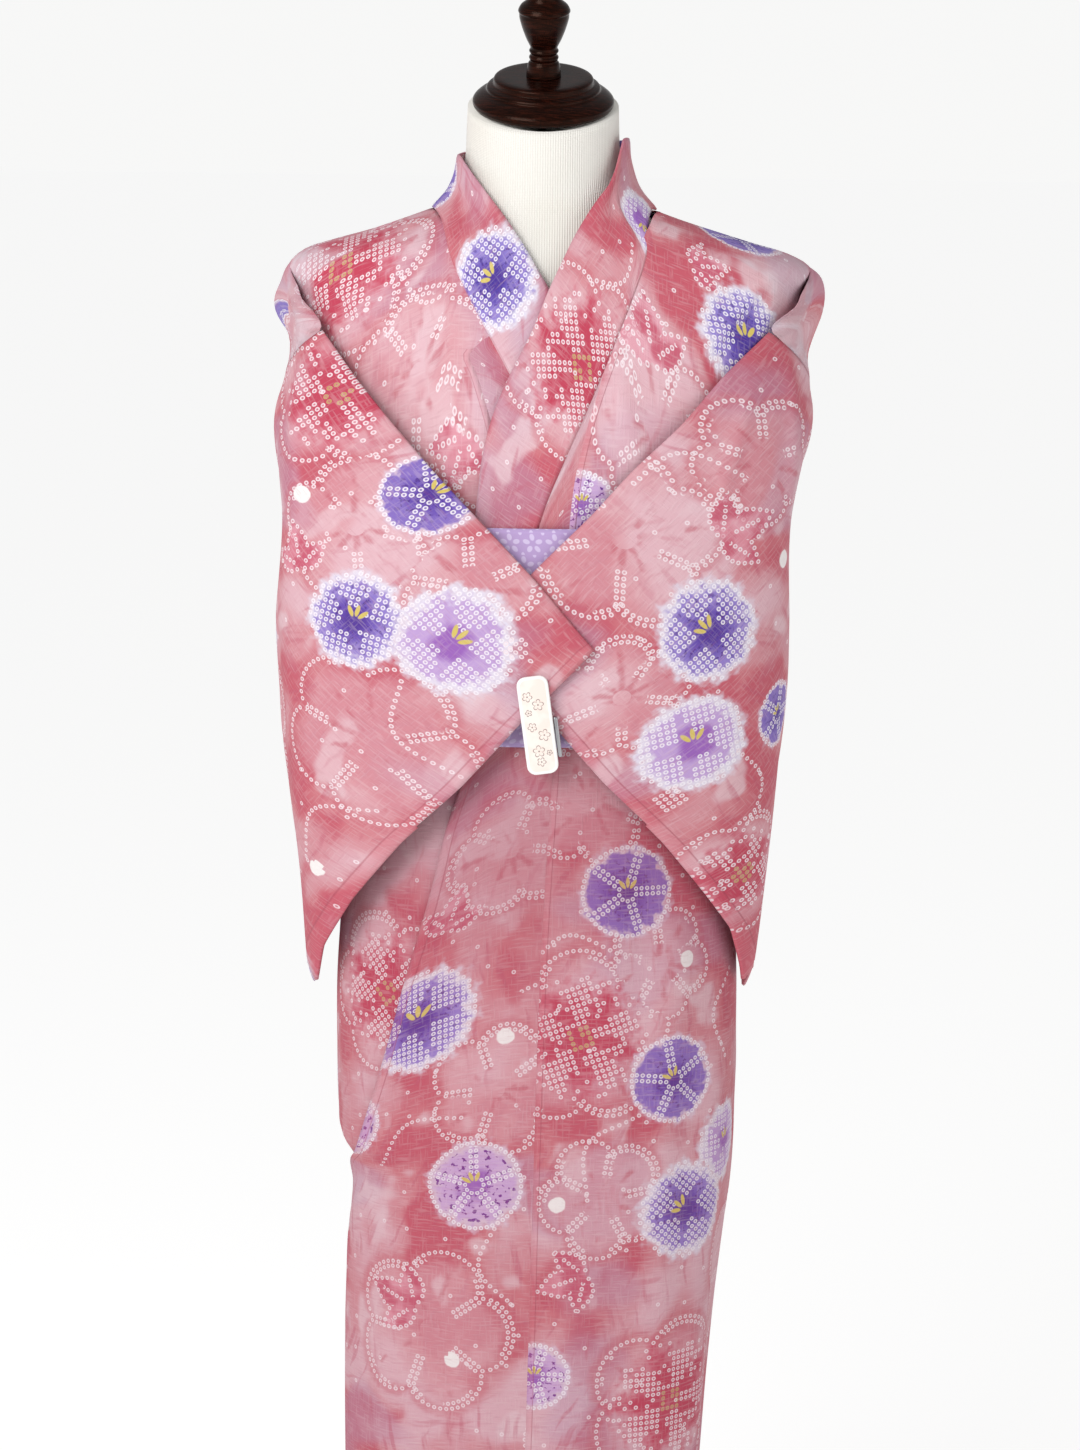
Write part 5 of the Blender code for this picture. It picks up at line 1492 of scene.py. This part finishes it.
def body_piece(side, name, finish):
    """One length of cloth from the front hem over the shoulder to the back hem."""
    fronts, backs = body_rows(side)
    both = np.concatenate((fronts, backs), axis=1)
    tip, end = fine_row(both, TIP_ROW), fine_row(both, TIP_ROW + len(ARMHOLE_STEPS))
    fine = refine_rows(both, FINE)
    columns = fronts.shape[1]
    across = fine.swapaxes(0, 1)
    front = refine_rows(across[:columns], FINE).swapaxes(0, 1)
    back = refine_rows(across[columns:], FINE).swapaxes(0, 1)
    side_fold = fine_row(across[columns:], BACK_CELLS)
    back[:tip + 1, side_fold:] = front[:tip + 1, -1:]
    back[end:, side_fold:] = front[end:, -1:]
    over_collar_wider = 0.045
    open_z = OKUMI_TOP_Z if side == UNDER else OKUMI_TOP_Z - over_collar_wider
    front = tuck(front, ALLOWANCE * ramp(front[:, 0, 2], open_z, 0.010))
    walked_back = lengths_across(back)
    walked = lengths_from(front, 1)
    front_u = front[:, :1, 0] + side * (walked - walked[:, :1])
    girth = np.abs(front_u[:, -1:]) + walked_back[:, side_fold:side_fold + 1]
    back_u = side * (girth - walked_back)
    front_v = down_the_cut(side, "front", front, -1)
    back_v = down_the_cut(side, "back", back, 1)
    front_cut = np.stack((flat_across(front, front_u), front_v), -1)
    back_cut = np.stack((flat_across(back, side * walked_back), back_v), -1)
    seam = np.where(front[..., 2] < OKUMI_TOP_Z, np.abs(walked) * SEAM_BAND, 1.0)
    front_hem = np.minimum(seam, front[..., 2] - HEM_Z)
    back_hem = np.minimum(walked_back * SEAM_BAND, back[..., 2] - HEM_Z)
    # Painted shade: the sheer cloth's painted greying plus the skirt's painted shade
    front_tone, back_tone = (sheer_tone(part) + skirt_tone(part) for part in (front, back))
    prints = prints_for(name, front, front_cut)
    cloth = Cloth()
    cloth.add(moved_out(front, relief(front, front_u)), front_cut, front_hem, front_tone)
    cloth.add(moved_out(back, relief(back, back_u)), back_cut, back_hem, back_tone, True)
    nodes = [name + "_front", name + "_back"]
    cloth.piece(name, CLOTH, finish, "rose_cotton", nodes, prints)


def okumi_piece(side, name, finish):
    """The narrow panel sewn to the front edge of a body panel, to a point at its top."""
    points = refine(okumi_rows(side), FINE)
    edge_z = points[:, -1, 2]
    points = tuck(tuck(points, ALLOWANCE + 0 * edge_z), ALLOWANCE * (edge_z >= COLLAR_END_Z), True)
    walked = lengths_from(points, 1)
    u = points[:, :1, 0] - side * (walked - walked[:, :1])
    cut = np.stack((u, length_up(points)), -1)
    to_edge = walked[:, -2:-1] - walked + np.where(points[..., 2] > COLLAR_END_Z, 1.0, 0.0)
    hem = np.minimum(to_edge, points[..., 2] - HEM_Z)
    # Painted shade: the skirt's painted shade, plus more painted shade from 0.70 m up where the
    # sleeves shade the front
    shade = skirt_tone(points) + 0.20 * ramp(points[..., 2], 0.70, 0.10)
    prints = prints_for(name, points, cut)
    cloth = Cloth()
    cloth.add(moved_out(points, relief(points, u)), cut, hem, shade)
    cloth.piece(name, CLOTH, finish, "rose_cotton", [name], prints)


# ---- collar, sleeves and belt
COLLAR_STEP = 0.0032
COLLAR_STAND = 0.0007     # how far the folded band stands off the panels that it covers


def collar_piece(finish):
    """One folded band from the under front, round the neck, to the over front."""
    points = refine(collar_rows(), COLLAR_STEP)
    across = lengths_across(points)
    along = lengths_across(points.swapaxes(0, 1)).swapaxes(0, 1)
    run = along[:, along.shape[1] // 2][:, None]
    rounding, drawn_in = 0.004, 0.0006
    from_edge = across[:, -1:] - across
    stand = COLLAR_STAND * ease(across / rounding)
    stand = stand - drawn_in * ease((rounding - from_edge) / rounding)
    ripple = crease(across, run + 0 * across, COLLAR_CREASES)
    cut = np.stack((across, run + 0 * across), -1)
    cloth = Cloth()
    hem = np.minimum(across * 6.0, 1.0)
    cloth.add(moved_out(points, stand + ripple), cut, hem, 0.0)
    prints = prints_for("collar", points, cut)
    cloth.piece("collar", COLLAR_CLOTH, finish, "rose_cotton", ["collar"], prints)


COLLAR_CREASES = table(
    "u1 v1 u2 v2 wide high",
    (0.01, 0.15, 0.05, 0.18, 0.008, 0.0012), (0.008, 0.23, 0.04, 0.3, 0.009, 0.001),
    (0.005, 0.56, 0.05, 0.64, 0.01, 0.0012), (0.01, 0.7, 0.06, 0.76, 0.01, 0.001),
)


def sleeve_piece(side, name, finish):
    """A bag of two layers: folded at the top, sewn at the bottom and under the cuff opening."""
    spacing = 0.0040
    across = np.linspace(SEAM / 2, SLEEVE_WIDTH, round(SLEEVE_WIDTH / spacing) + 1)
    falls = np.linspace(0.0, SLEEVE_LENGTH, round(SLEEVE_LENGTH / spacing) + 1)
    along, down = np.meshgrid(across, falls)
    outer = sleeve_point(side, along, down, 0.0)
    inner = sleeve_point(side, along, down, LAYER)
    hem = np.minimum(SLEEVE_WIDTH - along, SLEEVE_LENGTH - down)
    outer_cut = np.stack((along, -down), -1)
    inner_cut = np.stack((along, down), -1)
    prints = prints_for(name, outer, outer_cut)
    cloth = Cloth()
    # Painted shade: both layers of the sleeve are painted a deeper rose, the inner layer more
    outer_tone, inner_tone = 0.18, 0.25
    first = cloth.add(outer, outer_cut, hem, outer_tone)
    second = cloth.add(inner, inner_cut, hem, inner_tone, True)
    sewn = falls > CUFF_OPENING
    cloth.add_rim(first[0], second[0], outer[0] - outer[1])
    cloth.add_rim(first[-1], second[-1], outer[-1] - outer[-2])
    cloth.add_rim(first[sewn, -1], second[sewn, -1], (outer[:, -1] - outer[:, -2])[sewn])
    cloth.piece(name, CLOTH, finish, "rose_cotton", [name], prints)


BELT_CREASES = table(
    "u1 v1 u2 v2 wide high",
    (-0.08, 1.128, 0.06, 1.12, 0.004, 0.0009), (-0.05, 1.096, 0.09, 1.101, 0.005, 0.0009),
    (-0.12, 1.06, 0.02, 1.068, 0.006, 0.0008), (-0.1, 1.0, 0.1, 1.012, 0.006, 0.0008),
    (0.2, 1.11, 0.38, 1.1, 0.006, 0.0009), (-0.38, 1.05, -0.22, 1.062, 0.006, 0.0009),
    (0.24, 1.02, 0.4, 1.03, 0.006, 0.0008),
)


def belt_piece(finish):
    """A band wound once round the waist, its end lapping its start at the back."""
    rising, columns, rows = 60.0, 216, 40
    reach = HALF_TURN + BELT_END_TURN
    turn = np.linspace(-reach, reach, columns)
    turn, z = np.meshgrid(turn, np.linspace(BELT_TOP_Z, BELT_BOTTOM_Z, rows))
    lap = ramp(turn, HALF_TURN - rising, rising - BELT_END_TURN)
    points = ring_point(SKIN, z, turn, BELT_OFF + lap * BELT_LAP)
    walked = lengths_across(points)
    u = walked - walked.max() / 2
    cut = np.stack((u, z), -1)
    hem = np.minimum(z - BELT_BOTTOM_Z, BELT_TOP_Z - z)
    cloth = Cloth()
    cloth.add(moved_out(points, crease(u, z, BELT_CREASES)), cut, hem, 0.0)
    cloth.piece("belt", BELT_CLOTH, finish, "lavender_cotton", ["belt"])


# ---- dress form and clip
CAP = table(
    "radius z",
    (0.0, 0.0262), (0.03, 0.0262), (0.036, 0.0261), (0.04, 0.0253), (0.0414, 0.0238),
    (0.0418, 0.0215), (0.0422, 0.02), (0.044, 0.019), (0.0466, 0.0178), (0.0474, 0.0166),
    (0.0478, 0.0152), (0.049, 0.014), (0.052, 0.0124), (0.0552, 0.0102), (0.058, 0.0075),
    (0.059, 0.0055), (0.059, 0.0036), (0.058, 0.0014), (0.0565, 0.0), (0.0, 0.0),
)
FINIAL = table(
    "radius z",
    (0.0, 0.103), (0.005, 0.1027), (0.009, 0.1015), (0.015, 0.096), (0.0175, 0.088),
    (0.015, 0.0797), (0.0115, 0.0725), (0.0134, 0.0652), (0.0198, 0.0592), (0.0216, 0.0552),
    (0.0208, 0.0535), (0.0206, 0.05), (0.0184, 0.0415), (0.0145, 0.0312), (0.0112, 0.024),
    (0.0123, 0.0213), (0.011, 0.0186), (0.0123, 0.0158), (0.0114, 0.0133), (0.013, 0.0105),
    (0.0142, 0.004), (0.0145, 0.0), (0.0, 0.0),
)
BASE = table(
    "radius z",
    (0.0, BASE_HEIGHT), (0.04, BASE_HEIGHT), (0.06, 0.033), (0.12, 0.026), (0.16, 0.019),
    (0.168, 0.016), (BASE_RADIUS, 0.012), (BASE_RADIUS, 0.003), (0.167, 0.0), (0.0, 0.0),
)
POLE = table(
    "radius z",
    (0.0, TORSO_BOTTOM_Z - SEAM), (POLE_RADIUS - 0.0005, TORSO_BOTTOM_Z - SEAM),
    (POLE_RADIUS, TORSO_BOTTOM_Z - 0.001), (POLE_RADIUS, BASE_HEIGHT + 0.001),
    (POLE_RADIUS - 0.0005, BASE_HEIGHT + SEAM), (0.0, BASE_HEIGHT + SEAM),
)


def turned_piece(name, profile, low, finish, slot_name, parts=4, lean=0.0, foot=0.0):
    """A lathe-turned piece on a smooth curve through its profile; it leans about its foot."""
    steps = 96
    places = np.arange(len(profile["z"]), dtype=float)
    fine = np.linspace(0.0, places[-1], (len(places) - 1) * parts + 1)
    rows = {"place": places, **profile}
    radius = read(rows, "radius", fine, "place")[:, None]
    z = read(rows, "z", fine, "place")[:, None] + low
    turn = np.linspace(0.0, FULL_TURN, steps + 1)
    points = np.stack((radius * np.sin(turn), -radius * np.cos(turn), z + 0 * turn), -1)
    faces = grid_faces(points.shape[:2], 0, False)
    mesh = plain_mesh(name, points.reshape(-1, 3).tolist(), faces.tolist())
    joined_mesh(mesh)
    mesh.transform(Matrix.Translation((0.0, 0.0, foot)) @ Matrix.Rotation(lean, 4, "X"))
    show(name, mesh, finish, [name])


def torso_piece(finish):
    """The padded form under its jersey, closed at the bottom and under the neck cap."""
    rows, columns = 150, 181
    turns = np.linspace(-HALF_TURN, HALF_TURN, columns)
    turns, heights = np.meshgrid(turns, np.linspace(CAP_BOTTOM_Z, TORSO_BOTTOM_Z, rows))
    points = ring_point(FORM, heights, turns)
    leaning = ramp(heights, NECK_LEAN_Z, CAP_BOTTOM_Z - NECK_LEAN_Z)
    points[..., 2] += math.tan(NECK_LEAN) * points[..., 1] * leaning
    walked = lengths_across(points)
    cut = np.stack((walked - walked[:, -1:] / 2, heights), -1)
    on_axis = np.array((0.0, 0.0, 1.0))
    points = np.concatenate((points[:1] * on_axis, points, points[-1:] * on_axis))
    cut = np.concatenate((cut[:1], cut, cut[-1:]))
    cloth = Cloth()
    cloth.add(points, cut, 1.0, 0.0)
    cloth.piece("form_torso", 0.0, finish, "white_jersey", ["form_torso"])


CLIP_TILT = math.radians(8.0)
CLIP_CENTRE = Vector((0.001, 0.0, 0.990))
CLIP_LENGTH, CLIP_WIDTH, CLIP_FACE, CLIP_BACK = 0.082, 0.026, 0.0034, 0.0014


def rounded_box(name, size, corner, rim, finish, place):
    """A box whose upright edges are rounded by corner and the others by rim, in the clip's tilt."""
    box = bmesh.new()
    bmesh.ops.create_cube(box, size=1.0)
    for vertex in box.verts:
        vertex.co = Vector((vertex.co.x * size[0], vertex.co.y * size[1], vertex.co.z * size[2]))
    ends = [e for e in box.edges if abs(e.verts[0].co.y - e.verts[1].co.y) > size[1] / 2]
    bmesh.ops.bevel(box, geom=ends, offset=corner, segments=6, profile=0.5, affect="EDGES")
    faces = [f for f in box.faces if abs(f.normal.y) > 0.9]
    edges = list(dict.fromkeys(edge for face in faces for edge in face.edges))
    bmesh.ops.bevel(box, geom=edges, offset=rim, segments=4, profile=0.5, affect="EDGES")
    layer = box.loops.layers.uv.new("cut")
    for face in box.faces:
        face.smooth = True
        for loop in face.loops:
            loop[layer].uv = (loop.vert.co.x, loop.vert.co.z)
    turned = Matrix.Rotation(-CLIP_TILT, 4, "Y")
    x, y, z = place
    moved = Matrix.Translation(Vector((CLIP_CENTRE.x, y, CLIP_CENTRE.z))) @ turned
    box.transform(moved @ Matrix.Translation(Vector((x, 0.0, z))))
    mesh = bpy.data.meshes.new(name)
    box.to_mesh(mesh)
    box.free()
    show(name, mesh, finish, [name])


def clip_pieces(enamel, steel):
    """A sprung clip with its hinge at the foot; its jaws hold both sleeves' lower edges."""
    outer_layer = float(read(WRAP, "front", CLIP_CENTRE.z)) + UNDER_SLEEVE_LIFT
    front_y = -(outer_layer + CLIP_FACE + 0.0002)
    back_y = -(float(read(SKIN, "front", CLIP_CENTRE.z)) + BELT_OFF + 0.0030)
    rounded_box("clip_face", (CLIP_WIDTH, CLIP_FACE, CLIP_LENGTH), 0.0075, 0.0014, enamel,
                (0.0, front_y, 0.0))
    rounded_box("clip_back", (0.020, CLIP_BACK, CLIP_LENGTH - 0.010), 0.003, 0.0005, steel,
                (0.0, back_y, -0.003))
    near, far = front_y + CLIP_FACE / 2 + SEAM, back_y - CLIP_BACK / 2 - SEAM
    rounded_box("clip_spring", (0.018, far - near, 0.016), 0.004, 0.0012, steel,
                (0.0015, (near + far) / 2, -0.028))
    rounded_box("clip_lever", (0.0036, 0.0060, 0.034), 0.0015, 0.0012, steel,
                (0.0152, front_y + 0.0030, -0.012))


# ---- light, floor and camera
HORIZON = (0.935, 0.935, 0.930, 1.0)
OVERHEAD = (0.430, 0.430, 0.435, 1.0)


def surroundings():
    """A wide pale floor, a sky that is pale at its edge, one large soft lamp and a weaker one."""
    scene = bpy.context.scene
    scene.view_settings.view_transform = "Standard"
    world = bpy.data.worlds.new("studio")
    world.use_nodes = True
    scene.world = world
    Wire.tree = world.node_tree
    _, _, up = split(Wire(node_of("ShaderNodeTexCoord").outputs["Generated"]))
    sky = paint(HORIZON, OVERHEAD, fade(up, 0.04, 0.34))
    Wire.tree.links.new(sky.socket, world.node_tree.nodes["Background"].inputs["Color"])
    half = 60.0
    corners = [(-half, -half, 0), (half, -half, 0), (half, half, 0), (-half, half, 0)]
    mesh = plain_mesh("floor", corners, [(0, 1, 2, 3)])
    floor = bpy.data.objects.new("floor", mesh)
    scene.collection.objects.link(floor)
    made, shader = new_material("studio_floor", 0.9)
    shader.inputs["Base Color"].default_value = (0.45, 0.45, 0.45, 1.0)
    shader.inputs["Specular IOR Level"].default_value = 0.0
    shader.inputs["Emission Color"].default_value = (1.0, 1.0, 0.995, 1.0)
    shader.inputs["Emission Strength"].default_value = 0.725
    mesh.materials.append(made)
    add_lamp("key", place=(-1.5, -2.2, 2.5), size=1.6, power=60.0)
    add_lamp("fill", place=(1.8, -1.2, 1.6), size=1.6, power=6.0)


def add_lamp(name, place, size, power):
    """A square lamp of a width in metres and a power in watts, aimed at the robe's chest."""
    lamp = bpy.data.lights.new(name, "AREA")
    lamp.energy, lamp.size = power, size
    holder = bpy.data.objects.new(name, lamp)
    holder.location = place
    aim = Vector((0.0, 0.0, 1.0)) - Vector(place)
    holder.rotation_euler = aim.to_track_quat("-Z", "Y").to_euler()
    bpy.context.scene.collection.objects.link(holder)


def place_camera():
    """The photograph's view: from in front and a little above, nearly level."""
    target, away = Vector((0.003, -0.10, 0.984)), 3.0
    rise, roll = math.radians(10.0), math.radians(0.64)
    focal_length, sensor_width = 89.7, 36.0
    lens = bpy.data.cameras.new("camera")
    lens.lens, lens.sensor_width = focal_length, sensor_width
    camera = bpy.data.objects.new("camera", lens)
    back = Vector((0.0, -math.cos(rise), math.sin(rise)))
    camera.location = target + back * away
    facing = (-back).to_track_quat("-Z", "Y").to_matrix().to_4x4()
    camera.rotation_euler = (facing @ Matrix.Rotation(roll, 4, "Z")).to_euler()
    bpy.context.scene.collection.objects.link(camera)
    bpy.context.scene.camera = camera


# ---- the whole
def build():
    rose = printed_cotton()
    body_piece(OVER, "body_left", rose)
    body_piece(UNDER, "body_right", rose)
    okumi_piece(OVER, "okumi_left", rose)
    okumi_piece(UNDER, "okumi_right", rose)
    collar_piece(rose)
    sleeve_piece(OVER, "sleeve_left", rose)
    sleeve_piece(UNDER, "sleeve_right", rose)
    belt_piece(lavender_cotton())
    torso_piece(ribbed_jersey())
    wood = turned_wood()
    leaning = {"lean": NECK_LEAN, "foot": CAP_BOTTOM_Z}
    turned_piece("neck_cap", CAP, 0.0, wood, "dark_wood", **leaning)
    turned_piece("finial", FINIAL, CAP["z"][0] + SEAM, wood, "dark_wood", **leaning)
    turned_piece("base", BASE, 0.0, wood, "dark_wood")
    turned_piece("pole", POLE, 0.0, painted_metal(), "black_metal", 1)
    clip_pieces(clip_enamel(), plated_steel())


surroundings()
place_camera()
build()
